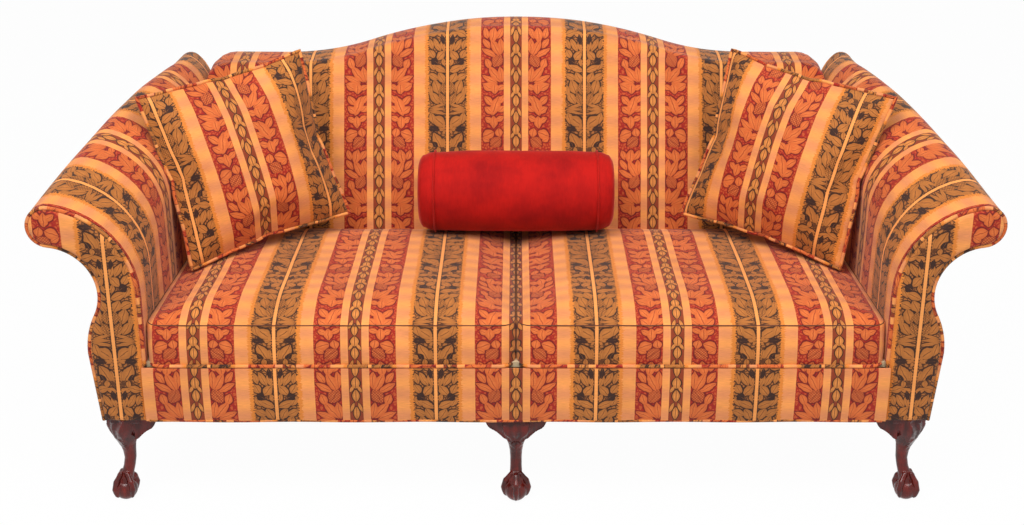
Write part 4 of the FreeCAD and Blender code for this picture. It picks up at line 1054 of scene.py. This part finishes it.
def bolster(material):
    """A round velvet bolster, its ends drawn in, with a seam before each end."""
    low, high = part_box("bolster_cover")
    centre = (low + high) / 2
    half, radius = (high.x - low.x) / 2, (high.z - low.z) / 2
    profile = [(0.0, (radius - BOLSTER_EDGE) * step / END_STEPS) for step in range(END_STEPS + 1)]
    for step in range(1, ROUND_STEPS + 1):
        turn = math.pi / 2 * step / ROUND_STEPS
        profile.append((BOLSTER_EDGE - BOLSTER_EDGE * math.cos(turn),
                        radius - BOLSTER_EDGE + BOLSTER_EDGE * math.sin(turn)))
    profile += [(between(BOLSTER_EDGE, half, step / LENGTH_STEPS), radius) for step in range(1, LENGTH_STEPS)]
    profile += [(2 * half - x, reach) for x, reach in reversed(profile)]
    points, faces, rows = [], [], []
    for x, reach in profile:
        if reach > radius * 0.9:
            reach -= 0.0035 * smooth_step(0.55, 0.0, 1 - abs(x - half) / half)
        row = []
        for side in range(BOLSTER_SIDES if reach else 1):
            turn = 2 * math.pi * side / BOLSTER_SIDES
            row.append(len(points))
            points.append(Vector((centre.x - half + x, centre.y + reach * math.cos(turn),
                                  centre.z + reach * math.sin(turn))))
        rows.append(row)
    for first, second in zip(rows, rows[1:]):
        for side in range(BOLSTER_SIDES):
            ahead = (side + 1) % BOLSTER_SIDES
            if len(first) == 1:
                faces.append((first[0], second[side], second[ahead]))
            elif len(second) == 1:
                faces.append((first[side], second[0], first[ahead]))
            else:
                faces.append((first[side], second[side], second[ahead], first[ahead]))
    roll = mesh_object("bolster", points, faces)
    outward(roll)
    for vertex in roll.data.vertices:
        point = vertex.co
        swell = noise.noise(point * 9) * 0.0022 + noise.noise(point * 24) * 0.0007
        to_axis = Vector((point.x, centre.y, centre.z)) - point
        if to_axis.length > 0.001:
            point -= to_axis.normalized() * (swell - 0.0015)
        point.z = max(point.z, low.z + 0.0005)
    lay_cloth(roll, [(vertex.co.x, vertex.co.z) for vertex in roll.data.vertices])
    rounded_shading(roll, 80)
    finish_piece(roll, "bolster", material, "velvet", "bolster_cover", "bolster_fill")
    for sign in (-1, 1):
        x = centre.x + sign * (half - 0.040)
        path = []
        for side in range(SEAM_SIDES):
            turn = 2 * math.pi * side / SEAM_SIDES
            path.append(Vector((x, centre.y + (radius - 0.0008) * math.cos(turn),
                                max(centre.z + (radius - 0.0008) * math.sin(turn), low.z + 0.002))))
        seam = tube(side_name("bolster_seam", sign), path, 0.0018, 8, closed=True)
        finish_piece(seam, "bolster", material, "velvet")


# The carved legs and the finishes of the frame.

LEG_TOP = 0.062
KNEE_BLOCK = 0.012
VOXEL = 0.0015
# A leg bends towards +X. Its stops: height, how far it leans out, half its width and how square it is.
LEG_STOPS = (
    (0.026, 0.022, 0.013, 0.0), (0.045, 0.0205, 0.0160, 0.0), (0.060, 0.0150, 0.0140, 0.0),
    (0.078, 0.008, 0.0130, 0.0), (0.096, 0.004, 0.0130, 0.0), (0.114, 0.0045, 0.0142, 0.1),
    (0.132, 0.0072, 0.0172, 0.3), (0.150, 0.0105, 0.0230, 0.5), (0.166, 0.0125, 0.0285, 0.6),
    (0.178, 0.0120, 0.0315, 0.7), (0.188, 0.0088, 0.0325, 0.8), (0.198, 0.003, 0.0325, 0.9),
    (0.2049, 0.0, 0.0325, 0.95),
)
LEG_SIDES = 24
# A claw comes down over the ball. Its stops: distance from the ball's axis, height and radius.
CLAW_STOPS = (
    (0.0085, 0.068, 0.0052), (0.0125, 0.0600, 0.0062), (0.0180, 0.0535, 0.0058), (0.0222, 0.0465, 0.0076),
    (0.0256, 0.0390, 0.0060), (0.0270, 0.0300, 0.0072), (0.0262, 0.0210, 0.0056), (0.0240, 0.0135, 0.0046),
    (0.0212, 0.0080, 0.0024),
)
CLAW_SIDES = 10
BALL_RADIUS, BALL_OUT, BALL_MIDDLE = 0.025, 0.022, 0.0235
WING_START, WING_REACH, WING_BACK = LEG_TOP / 2 - 0.006, 0.042, 0.014
WING_THICK, WING_HIGH = 0.024, 0.047
CARVED_FROM, CARVED_TO = 0.118, 0.2035
FLUTES, FLUTE_DEPTH = 10, 0.0026
FRONT_LEG_OUT, FRONT_LEG_DEPTH = 0.853, 0.041


def carved_stem():
    """The leg's stem, drawn up stop by stop from a ring at the ball."""
    low, out, half, _ = LEG_STOPS[0]
    clear_selection()
    bpy.ops.mesh.primitive_circle_add(vertices=LEG_SIDES, radius=half, fill_type="NGON",
                                      location=(out, 0, low))
    stem = bpy.context.active_object
    bpy.ops.object.mode_set(mode="EDIT")
    bpy.ops.mesh.select_all(action="SELECT")
    for (low, was_out, was_half, _), (high, new_out, new_half, _) in zip(LEG_STOPS, LEG_STOPS[1:]):
        bpy.ops.mesh.extrude_region_move(TRANSFORM_OT_translate={"value": (new_out - was_out, 0, high - low)})
        share = new_half / was_half
        bpy.ops.transform.resize(value=(share, share, 1), center_override=(new_out, 0, high))
    bpy.ops.object.mode_set(mode="OBJECT")
    bpy.ops.object.transform_apply(location=True, rotation=True, scale=True)
    for vertex in stem.data.vertices:
        _, out, _, square = min(LEG_STOPS, key=lambda stop: abs(stop[0] - vertex.co.z))
        across = Vector((vertex.co.x - out, vertex.co.y, 0))
        if across.length > 1e-6:
            flat = across / max(abs(across.x), abs(across.y)) * across.length * 0.94
            moved = across.lerp(flat, square)
            vertex.co.x, vertex.co.y = out + moved.x, moved.y
    return stem


def claw(angle):
    """One knuckled talon over the ball."""
    path = [(Vector((reach, 0, height)), radius) for reach, height, radius in CLAW_STOPS]
    clear_selection()
    bpy.ops.mesh.primitive_circle_add(vertices=CLAW_SIDES, radius=path[0][1], fill_type="NGON",
                                      location=tuple(path[0][0]))
    talon = bpy.context.active_object
    bpy.ops.object.mode_set(mode="EDIT")
    bpy.ops.mesh.select_all(action="SELECT")
    lean = 0.0
    for index, ((point, radius), (ahead, ahead_radius)) in enumerate(zip(path, path[1:])):
        bpy.ops.mesh.extrude_region_move(TRANSFORM_OT_translate={"value": tuple(ahead - point)})
        following = path[min(index + 2, len(path) - 1)][0] - point
        new_lean = math.atan2(-following.x, -following.z)
        bpy.ops.transform.rotate(value=-(new_lean - lean), orient_axis="Y", center_override=tuple(ahead))
        lean = new_lean
        share = ahead_radius / radius
        bpy.ops.transform.resize(value=(share, share, share), center_override=tuple(ahead))
    bpy.ops.object.mode_set(mode="OBJECT")
    bpy.ops.object.transform_apply(location=True, rotation=True, scale=True)
    talon.data.transform(Matrix.Translation((BALL_OUT, 0, 0)) @ Matrix.Rotation(angle, 4, "Z"))
    return talon


def joined(parts):
    """Joins objects to the first of them."""
    clear_selection()
    for part in parts:
        part.select_set(True)
    bpy.context.view_layer.objects.active = parts[0]
    bpy.ops.object.join()
    return parts[0]


def leg_shape():
    """A cabriole leg that bends towards +X: knee, ankle, and a ball in the grip of four claws."""
    stem = carved_stem()
    clear_selection()
    bpy.ops.mesh.primitive_uv_sphere_add(segments=40, ring_count=24, radius=BALL_RADIUS,
                                         location=(BALL_OUT, 0, BALL_MIDDLE))
    ball = bpy.context.active_object
    bpy.ops.object.transform_apply(location=True, rotation=True, scale=True)
    for vertex in ball.data.vertices:
        vertex.co.z = max(vertex.co.z, 0.0002)
    return joined([stem, ball] + [claw(math.radians(angle)) for angle in (0, 90, 180, 270)])


def wing_shape():
    """A knee bracket under the rail, towards +X: deep at the knee and rounded at its end."""
    clear_selection()
    bpy.ops.mesh.primitive_cube_add(size=1, location=(WING_START + WING_REACH / 2 - 0.004, 0,
                                                      FLOOR_TO_RAIL - WING_HIGH / 2))
    wing = bpy.context.active_object
    wing.scale = (WING_REACH + 0.008, WING_THICK, WING_HIGH)
    bpy.ops.object.transform_apply(location=True, rotation=True, scale=True)
    bpy.ops.object.mode_set(mode="EDIT")
    bpy.ops.mesh.select_all(action="SELECT")
    bpy.ops.mesh.subdivide(number_cuts=9)
    bpy.ops.object.mode_set(mode="OBJECT")
    for vertex in wing.data.vertices:
        along = min(max((vertex.co.x - WING_START) / WING_REACH, 0.0), 1.0)
        drop = 0.054 - 0.028 * math.sin(along * math.pi / 2) ** 0.9
        drop *= math.sqrt(1 - 0.8 * smooth_step(0.70, 1.0, along) ** 2)
        share = (FLOOR_TO_RAIL - vertex.co.z) / WING_HIGH
        vertex.co.z = FLOOR_TO_RAIL - share * drop
        swell = 0.0045 * (1 - along) * math.sin(math.pi * min(max(share, 0.0), 1.0))
        vertex.co.y += swell * (1 if vertex.co.y > 0 else -1)
    return wing


def carve(leg, facing, origin):
    """Cuts flutes and a fanned shell into a knee, round a point on the side that shows."""
    sideways = facing.cross(Vector((0, 0, 1)))
    normals = [vertex.normal.copy() for vertex in leg.data.vertices]
    for vertex, normal in zip(leg.data.vertices, normals):
        point = vertex.co
        toward = normal.dot(facing)
        if not CARVED_FROM <= point.z <= CARVED_TO or toward < 0.25:
            continue
        offset = point - origin
        across, up = offset.dot(sideways), offset.z
        radius = math.hypot(across, up)
        flute = 0.5 - 0.5 * math.cos(math.atan2(across, up) * FLUTES)
        reach = smooth_step(0.010, 0.022, radius) * smooth_step(-0.090, -0.060, -radius)
        fade = (smooth_step(0.25, 0.6, toward) * smooth_step(CARVED_FROM, 0.135, point.z)
                * smooth_step(-CARVED_TO, -0.199, -point.z))
        point -= normal * (FLUTE_DEPTH * flute * reach * fade)
        rim = math.exp(-((radius - 0.012) / 0.003) ** 2)
        point += normal * (0.0009 * rim * fade)


def finished_leg(name, shape, angle, x, wings, material, *nodes):
    """One whole front leg in its place, remeshed to one skin, carved and polished."""
    y = FRONT_LEG_DEPTH - ORIGIN_DEPTH
    leg = bpy.data.objects.new(name, shape.data.copy())
    bpy.context.scene.collection.objects.link(leg)
    leg.data.transform(Matrix.Translation((x, y, 0)) @ Matrix.Rotation(math.radians(angle), 4, "Z"))
    parts = [leg]
    clear_selection()
    bpy.ops.mesh.primitive_cube_add(size=1, location=(x, y, FLOOR_TO_RAIL - KNEE_BLOCK / 2 - 0.0001))
    block = bpy.context.active_object
    block.scale = (LEG_TOP, LEG_TOP, KNEE_BLOCK)
    bpy.ops.object.transform_apply(location=True, rotation=True, scale=True)
    bevel = block.modifiers.new("soft_edges", "BEVEL")
    bevel.width, bevel.segments = 0.002, 2
    apply_modifiers(block)
    parts.append(block)
    for direction in wings:
        wing = wing_shape()
        wing.data.transform(Matrix.Translation((x, y - WING_BACK, 0))
                            @ Matrix.Rotation(0 if direction > 0 else math.pi, 4, "Z"))
        parts.append(wing)
    joined(parts)
    skin = leg.modifiers.new("one_skin", "REMESH")
    skin.mode = "VOXEL"
    skin.voxel_size = VOXEL
    smooth = leg.modifiers.new("polish", "SMOOTH")
    smooth.factor, smooth.iterations = 0.5, 4
    apply_modifiers(leg)
    outer = Vector((math.cos(math.radians(angle)), math.sin(math.radians(angle)), 0))
    carve(leg, outer, Vector((x, y, 0.142)) + outer * 0.02)
    for vertex in leg.data.vertices:
        vertex.co.z = min(max(vertex.co.z, 0.0), FLOOR_TO_RAIL - 0.0002)
    rounded_shading(leg, 80)
    finish_piece(leg, "frame", material, "mahogany", *nodes)


def wood_group():
    """Wood: long figure, pores and wear, from a place in metres and two colours."""
    tree, source, target = new_group(
        "wood", [("Place", "Vector", None), ("Dark", "Color", None), ("Light", "Color", None)],
        [("Colour", "Color"), ("Roughness", "Float"), ("Height", "Float")])
    long_way = vector(tree, "MULTIPLY", source.outputs[0], (90.0, 90.0, 9.0))
    figure = put(tree, "ShaderNodeTexNoise", [long_way, None, 1.0, 4.0, 0.6])
    cloudy = put(tree, "ShaderNodeTexNoise", [source.outputs[0], None, 26.0, 2.0])
    pores_at = vector(tree, "MULTIPLY", source.outputs[0], (900.0, 900.0, 60.0))
    pores = put(tree, "ShaderNodeTexNoise", [pores_at, None, 1.0, 1.0])
    share = maths(tree, "MULTIPLY_ADD", cloudy.outputs[0], 0.7, -0.35)
    share = maths(tree, "MULTIPLY_ADD", figure.outputs[0], 0.9, share)
    share = put(tree, "ShaderNodeMapRange", [share, 0.3, 0.75]).outputs[0]
    colour = mixed(tree, share, source.outputs[1], source.outputs[2])
    pore = maths(tree, "GREATER_THAN", pores.outputs[0], 0.66)
    colour = mixed(tree, maths(tree, "MULTIPLY", pore, 0.35), colour, source.outputs[1])
    tree.links.new(colour, target.inputs[0])
    tree.links.new(maths(tree, "MULTIPLY_ADD", cloudy.outputs[0], 0.18, 0.16), target.inputs[1])
    tree.links.new(maths(tree, "MULTIPLY_ADD", pores.outputs[0], 0.5, figure.outputs[0]), target.inputs[2])
    return tree


def wood_material(name, tree, dark, light, roughness=None, coat=0.0, strength=0.12):
    """A wood finish in two colours, polished by a coat."""
    material = new_material(name)
    place = put(material.node_tree, "ShaderNodeTexCoord")
    node = group_node(material, tree)
    material.node_tree.links.new(place.outputs["Object"], node.inputs[0])
    node.inputs[1].default_value, node.inputs[2].default_value = dark, light
    shader(material, node.outputs[0], node.outputs[1] if roughness is None else roughness, node.outputs[2],
           strength, 0.0006, Coat_Weight=coat, Coat_Roughness=0.08,
           Specular_IOR_Level=0.32)
    return material


def cloth_group():
    """A plain weave: tone and height from a place in metres, the pitch of its threads and a colour. Its tone is
    blotched at random and darkened as painted shade where the threads dip.
    """
    tree, source, target = new_group(
        "plain_weave", [("Place", "Vector", None), ("Threads", "Float", 400.0), ("Tint", "Color", None)],
        [("Colour", "Color"), ("Height", "Float")])
    scaled = put(tree, "ShaderNodeVectorMath", [source.outputs[0]], operation="SCALE")
    tree.links.new(source.outputs[1], scaled.inputs["Scale"])
    warp = put(tree, "ShaderNodeTexWave", [scaled.outputs[0], 1.0], wave_type="BANDS", bands_direction="X")
    weft = put(tree, "ShaderNodeTexWave", [scaled.outputs[0], 1.0], wave_type="BANDS", bands_direction="Y")
    height = maths(tree, "ADD", warp.outputs[1], weft.outputs[1])
    tone = put(tree, "ShaderNodeTexNoise", [source.outputs[0], None, 40.0, 3.0])
    # Colour is blotched at random by the noise and darker where the weave's threads dip, which is painted shade.
    share = maths(tree, "MULTIPLY_ADD", height, 0.2, maths(tree, "MULTIPLY", tone.outputs[0], 0.6))
    shade = ramp(tree, share, [(0.1, (0.6, 0.6, 0.6, 1)), (0.8, (1.15, 1.15, 1.15, 1))])
    tree.links.new(mixed(tree, 1.0, source.outputs[2], shade, "MULTIPLY"), target.inputs[0])
    tree.links.new(height, target.inputs[1])
    return tree


def plain_cloth(name, tree, tint, threads, roughness):
    """A plain cloth finish."""
    material = new_material(name)
    place = put(material.node_tree, "ShaderNodeTexCoord")
    node = group_node(material, tree)
    material.node_tree.links.new(place.outputs["Object"], node.inputs[0])
    node.inputs[1].default_value = threads
    node.inputs[2].default_value = tint
    shader(material, node.outputs[0], roughness, node.outputs[1], 0.3, 0.0005)
    return material


def velvet_material(tint, deep):
    """Cotton velvet: a brushed nap in patches, darker where the pile lies over."""
    material = new_material("velvet")
    tree = material.node_tree
    place = put(tree, "ShaderNodeTexCoord")
    patches = put(tree, "ShaderNodeTexNoise", [place.outputs["Object"], None, 14.0, 3.0, 0.6])
    streaks_at = vector(tree, "MULTIPLY", place.outputs["Object"], (260.0, 60.0, 60.0))
    streaks = put(tree, "ShaderNodeTexNoise", [streaks_at, None, 1.0, 2.0])
    nap = put(tree, "ShaderNodeTexNoise", [place.outputs["Object"], None, 1400.0, 1.0])
    share = maths(tree, "MULTIPLY_ADD", streaks.outputs[0], 0.35, patches.outputs[0])
    share = put(tree, "ShaderNodeMapRange", [share, 0.48, 0.86]).outputs[0]
    colour = mixed(tree, share, deep, tint)
    shader(material, colour, 0.85, nap.outputs[0], 0.25, 0.0006, Sheen_Weight=0.55, Sheen_Roughness=0.35,
           Sheen_Tint=(0.9, 0.25, 0.2, 1.0), Specular_IOR_Level=0.15)
    return material

# What a user can change, one operator for each piece or group of like pieces, and their panel.


def colour_property(name, description, red, green, blue):
    """A colour that a user can change, its default as it looks on a screen."""
    return FloatVectorProperty(name=name, description=description, subtype="COLOR", size=4, min=0.0, max=1.0,
                               default=linear(red, green, blue))


class SofaSizes(bpy.types.PropertyGroup):
    """Sizes of the trimmings and the place of the camera."""

    welt_diameter: FloatProperty(name="Welt diameter", description="Thickness of the corded seams",
                                 default=0.009, min=0.003, max=0.02, unit="LENGTH")
    camera_distance: FloatProperty(name="Camera distance", description="From the front border's face",
                                   default=2.623, min=1.0, max=10.0, unit="LENGTH")
    camera_height: FloatProperty(name="Camera height", description="From the floor to the camera",
                                 default=1.637, min=0.2, max=5.0, unit="LENGTH")
    camera_pitch: FloatProperty(name="Camera pitch", description="How far the camera looks down",
                                default=math.radians(20.0), min=0.0, max=1.5, subtype="ANGLE")
    lens: FloatProperty(name="Lens", description="Focal length on a 36 mm sensor, in millimetres",
                        default=47.92, min=10.0, max=300.0)


class SofaColours(bpy.types.PropertyGroup):
    """Colours of the cloth and the woods."""

    beige: colour_property("Beige", "Plain stripes of the damask", 230, 168, 104)
    beige_pink: colour_property("Pale beige", "Paler bands along the plain stripes", 212, 150, 112)
    ochre: colour_property("Ochre", "Ragged edge of the green stripe", 208, 138, 60)
    olive: colour_property("Olive", "Ground of the green stripe", 86, 52, 22)
    leaf: colour_property("Leaf", "Leaves of the green stripe", 164, 112, 56)
    leaf_light: colour_property("Light leaf", "Middle of the leaves", 190, 132, 70)
    outline: colour_property("Outline", "Dark threads round the leaves", 46, 22, 8)
    red: colour_property("Red", "Ground of the red stripe", 150, 28, 13)
    red_dark: colour_property("Deep red", "Dark threads round the petals", 104, 14, 8)
    petal: colour_property("Petal", "Petals of the red stripe", 198, 108, 56)
    petal_light: colour_property("Light petal", "Middle of the petals", 212, 134, 78)
    rust: colour_property("Rust", "Ground of the narrow stripe", 130, 56, 26)
    velvet: colour_property("Velvet", "Nap of the bolster", 172, 18, 12)
    velvet_deep: colour_property("Deep velvet", "Nap that lies over", 140, 10, 10)
    mahogany: colour_property("Mahogany", "Lighter figure of the legs", 112, 24, 13)
    mahogany_dark: colour_property("Dark mahogany", "Darker figure of the legs", 58, 9, 5)
    frame_wood: colour_property("Frame wood", "Sawn hardwood of the hidden frame", 196, 158, 110)
    frame_dark: colour_property("Frame figure", "Darker figure of the hidden frame", 158, 116, 74)


GROUPS = {}
FINISHES = {}


def damask(name, across, along):
    """A damask finish by name, made once."""
    if name not in FINISHES:
        if "damask" not in GROUPS:
            colours = bpy.context.scene.sofa_colours
            GROUPS["damask"] = damask_group({key: tuple(getattr(colours, key))
                                             for key in colours.__annotations__})
        FINISHES[name] = damask_material(name, GROUPS["damask"], across, along)
    return FINISHES[name]


def wood(name):
    """A wood finish by name, made once."""
    if name not in FINISHES:
        if "wood" not in GROUPS:
            GROUPS["wood"] = wood_group()
        colours = bpy.context.scene.sofa_colours
        if name == "mahogany":
            FINISHES[name] = wood_material(name, GROUPS["wood"], colours.mahogany_dark, colours.mahogany,
                                           coat=0.12)
        else:
            FINISHES[name] = wood_material(name, GROUPS["wood"], colours.frame_dark, colours.frame_wood, 0.75,
                                           strength=0.3)
    return FINISHES[name]


def plain(name, tint, threads, roughness=0.9):
    """A plain cloth finish by name, made once."""
    if name not in FINISHES:
        if "plain" not in GROUPS:
            GROUPS["plain"] = cloth_group()
        FINISHES[name] = plain_cloth(name, GROUPS["plain"], linear(*tint), threads, roughness)
    return FINISHES[name]


def seam_thread():
    """The dark finish of the thin cord along the plain seams: painted shade in the seam's crease."""
    # Painted shade: a dark brown cloth for the cord that stands for the shaded seam crease.
    return plain("seam_thread", (92, 48, 28), 900.0)


def welt_cloth():
    """The damask on the cords, cut on the bias."""
    return damask("damask_welt", 0.02, 0.0)


class SOFA_OT_back(bpy.types.Operator):
    """Upholsters the camel back and its outside"""

    bl_idname = "sofa.back"
    bl_label = "Back"

    def execute(self, context):
        back_cloth(damask("damask_back", HALF_REPEAT, -0.170))
        outside_back_cover(damask("damask_outside", HALF_REPEAT, 0.0))
        return {"FINISHED"}


class SOFA_OT_arms(bpy.types.Operator):
    """Upholsters both scroll arms, their outsides, front panels and welts"""

    bl_idname = "sofa.arms"
    bl_label = "Arms"

    def execute(self, context):
        arm_cloths(damask("damask_arm", -0.100, 0.0), damask("damask_arm_outside", -0.100, 0.05))
        arm_fronts(damask("damask_arm_front", -0.853, 0.0), welt_cloth())
        return {"FINISHED"}


class SOFA_OT_seat(bpy.types.Operator):
    """Makes the front border, the deck and the two loose seat cushions"""

    bl_idname = "sofa.seat"
    bl_label = "Seat"

    def execute(self, context):
        border_pieces(damask("damask_border", HALF_REPEAT, 0.150), welt_cloth())
        deck_cover(plain("deck_cloth", (196, 176, 140), 1500.0))
        for sign in (-1, 1):
            seat_cushion(sign, damask("damask_seat", HALF_REPEAT, -0.020), welt_cloth(), seam_thread())
        return {"FINISHED"}


class SOFA_OT_pillows(bpy.types.Operator):
    """Makes the two throw pillows and the velvet bolster"""

    bl_idname = "sofa.pillows"
    bl_label = "Pillows and bolster"

    def execute(self, context):
        colours = context.scene.sofa_colours
        pillows(damask("damask_pillow_left", HALF_REPEAT + 0.012, 0.05),
                damask("damask_pillow_right", HALF_REPEAT - 0.03, 0.12), welt_cloth())
        bolster(velvet_material(colours.velvet, colours.velvet_deep))
        return {"FINISHED"}


class SOFA_OT_legs(bpy.types.Operator):
    """Carves the three front legs with their knee brackets and finishes the rear legs"""

    bl_idname = "sofa.legs"
    bl_label = "Legs"

    def execute(self, context):
        material = wood("mahogany")
        shape = leg_shape()
        finished_leg("front_leg_carved_right", shape, -45, FRONT_LEG_OUT, (-1,), material, "front_leg_right")
        finished_leg("front_leg_carved_left", shape, 225, -FRONT_LEG_OUT, (1,), material, "front_leg_left")
        finished_leg("front_leg_carved_centre", shape, -90, 0.0, (-1, 1), material, "front_leg_centre",
                     "knee_brackets")
        bpy.data.objects.remove(shape)
        for side in ("left", "right"):
            set_material("rear_leg_" + side, material)
            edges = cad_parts["rear_leg_" + side].modifiers.new("soft_edges", "BEVEL")
            edges.width, edges.segments, edges.limit_method = 0.0025, 2, "ANGLE"
        return {"FINISHED"}


def set_material(node, material):
    """Gives a CAD node its finish."""
    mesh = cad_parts[node].data
    mesh.materials.clear()
    mesh.materials.append(material)


class SOFA_OT_frame(bpy.types.Operator):
    """Finishes the hidden hardwood frame, springs and linings"""

    bl_idname = "sofa.frame"
    bl_label = "Frame and linings"

    def execute(self, context):
        steel = new_material("spring_steel")
        tree = steel.node_tree
        place = put(tree, "ShaderNodeTexCoord")
        rust = put(tree, "ShaderNodeTexNoise", [place.outputs["Object"], None, 60.0, 3.0])
        tint = ramp(tree, rust.outputs[0], [(0.45, (0.32, 0.32, 0.33, 1)), (0.7, (0.18, 0.11, 0.07, 1))])
        shader(steel, tint, 0.42, Metallic=0.9)
        dust = plain("dust_cloth", (34, 33, 32), 700.0)
        burlap = plain("burlap", (176, 140, 92), 420.0)
        for name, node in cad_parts.items():
            if node.hide_render or name.startswith("rear_leg"):
                continue
            if name == "seat_springs":
                set_material(name, steel)
            elif name == "dust_cover":
                set_material(name, dust)
            elif name in ("seat_burlap", "back_webbing"):
                set_material(name, burlap)
            else:
                set_material(name, wood("frame_wood"))
        return {"FINISHED"}


class SOFA_OT_stage(bpy.types.Operator):
    """Sets the floor, the soft lights, the world and the camera"""

    bl_idname = "sofa.stage"
    bl_label = "Stage"

    def execute(self, context):
        clear_selection()
        bpy.ops.mesh.primitive_plane_add(size=40.0, location=(0, 0, 0))
        floor = context.active_object
        floor.name = "floor"
        pale = new_material("floor_pale")
        floor.data.materials.append(pale)
        surface = shader(pale, (0.74, 0.74, 0.74, 1.0), 0.7)
        tree = pale.node_tree
        path = put(tree, "ShaderNodeLightPath")
        glow = put(tree, "ShaderNodeEmission", [(1.0, 1.0, 1.0, 1.0), 1.0])
        seen = maths(tree, "MAXIMUM", path.outputs["Is Camera Ray"], path.outputs["Is Glossy Ray"])
        mix = put(tree, "ShaderNodeMixShader", [maths(tree, "MULTIPLY", seen, 0.975)])
        tree.links.new(surface.outputs[0], mix.inputs[1])
        tree.links.new(glow.outputs[0], mix.inputs[2])
        tree.links.new(mix.outputs[0], tree.nodes["Material Output"].inputs[0])
        world = bpy.data.worlds.new("studio")
        context.scene.world = world
        world.use_nodes = True
        air = world.node_tree
        ray = put(air, "ShaderNodeLightPath")
        shown = maths(air, "MAXIMUM", ray.outputs["Is Camera Ray"], ray.outputs["Is Glossy Ray"])
        shown = maths(air, "MAXIMUM", shown, ray.outputs["Is Transmission Ray"])
        level = maths(air, "MULTIPLY_ADD", shown, 1.0 - WORLD_LIGHT, WORLD_LIGHT)
        back = air.nodes["Background"]
        back.inputs[0].default_value = (1.0, 1.0, 1.0, 1.0)
        air.links.new(level, back.inputs[1])
        for name, place, size, power in LAMPS:
            data = bpy.data.lights.new(name, "AREA")
            data.shape = "RECTANGLE"
            data.size, data.size_y = size
            data.energy = power
            lamp = bpy.data.objects.new(name, data)
            context.scene.collection.objects.link(lamp)
            lamp.location = place
            lamp.rotation_euler = (Vector((0, 0, 0.45)) - Vector(place)).to_track_quat("-Z", "Y").to_euler()
        sizes = context.scene.sofa_sizes
        data = bpy.data.cameras.new("camera")
        camera = bpy.data.objects.new("camera", data)
        context.scene.collection.objects.link(camera)
        camera.location = (0, -ORIGIN_DEPTH - sizes.camera_distance, sizes.camera_height)
        camera.rotation_euler = (math.pi / 2 - sizes.camera_pitch, 0, 0)
        data.lens, data.sensor_width = sizes.lens, 36.0
        data.shift_x, data.shift_y = CAMERA_SHIFT
        context.scene.camera = camera
        context.scene.view_settings.view_transform = "Standard"
        return {"FINISHED"}


WORLD_LIGHT = 0.24
CAMERA_SHIFT = (-0.0039, -0.0473)
LAMPS = [
    ("key", (-1.5, -2.4, 3.6), (2.2, 1.6), 112.0),
    ("fill", (1.7, -2.4, 3.3), (2.2, 1.6), 72.0),
    ("top", (0.0, -1.1, 3.0), (2.6, 1.0), 38.0),
]

OPERATORS = (SOFA_OT_legs, SOFA_OT_back, SOFA_OT_arms, SOFA_OT_seat, SOFA_OT_pillows, SOFA_OT_frame,
             SOFA_OT_stage)


class SOFA_PT_panel(bpy.types.Panel):
    """Lists the sizes, the colours and the operators"""

    bl_idname = "SOFA_PT_panel"
    bl_label = "Camelback sofa"
    bl_space_type = "VIEW_3D"
    bl_region_type = "UI"
    bl_category = "Sofa"

    def draw(self, context):
        """Draws every size and colour, then a button for each operator."""
        layout = self.layout
        for group in (context.scene.sofa_sizes, context.scene.sofa_colours):
            for key in group.__annotations__:
                layout.prop(group, key)
        for operator in OPERATORS:
            layout.operator(operator.bl_idname)


CLASSES = (SofaSizes, SofaColours) + OPERATORS + (SOFA_PT_panel,)


def register():
    """Adds the sizes, the colours, the operators and the panel."""
    for made in CLASSES:
        bpy.utils.register_class(made)
    bpy.types.Scene.sofa_sizes = PointerProperty(type=SofaSizes)
    bpy.types.Scene.sofa_colours = PointerProperty(type=SofaColours)


def unregister():
    """Takes them away again."""
    del bpy.types.Scene.sofa_colours
    del bpy.types.Scene.sofa_sizes
    for made in reversed(CLASSES):
        bpy.utils.unregister_class(made)


def main():
    """Builds every piece round the frame."""
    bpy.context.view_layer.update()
    register()
    for operator in OPERATORS:
        space, name = operator.bl_idname.split(".")
        getattr(getattr(bpy.ops, space), name)()


if __name__ == "__main__":
    main()
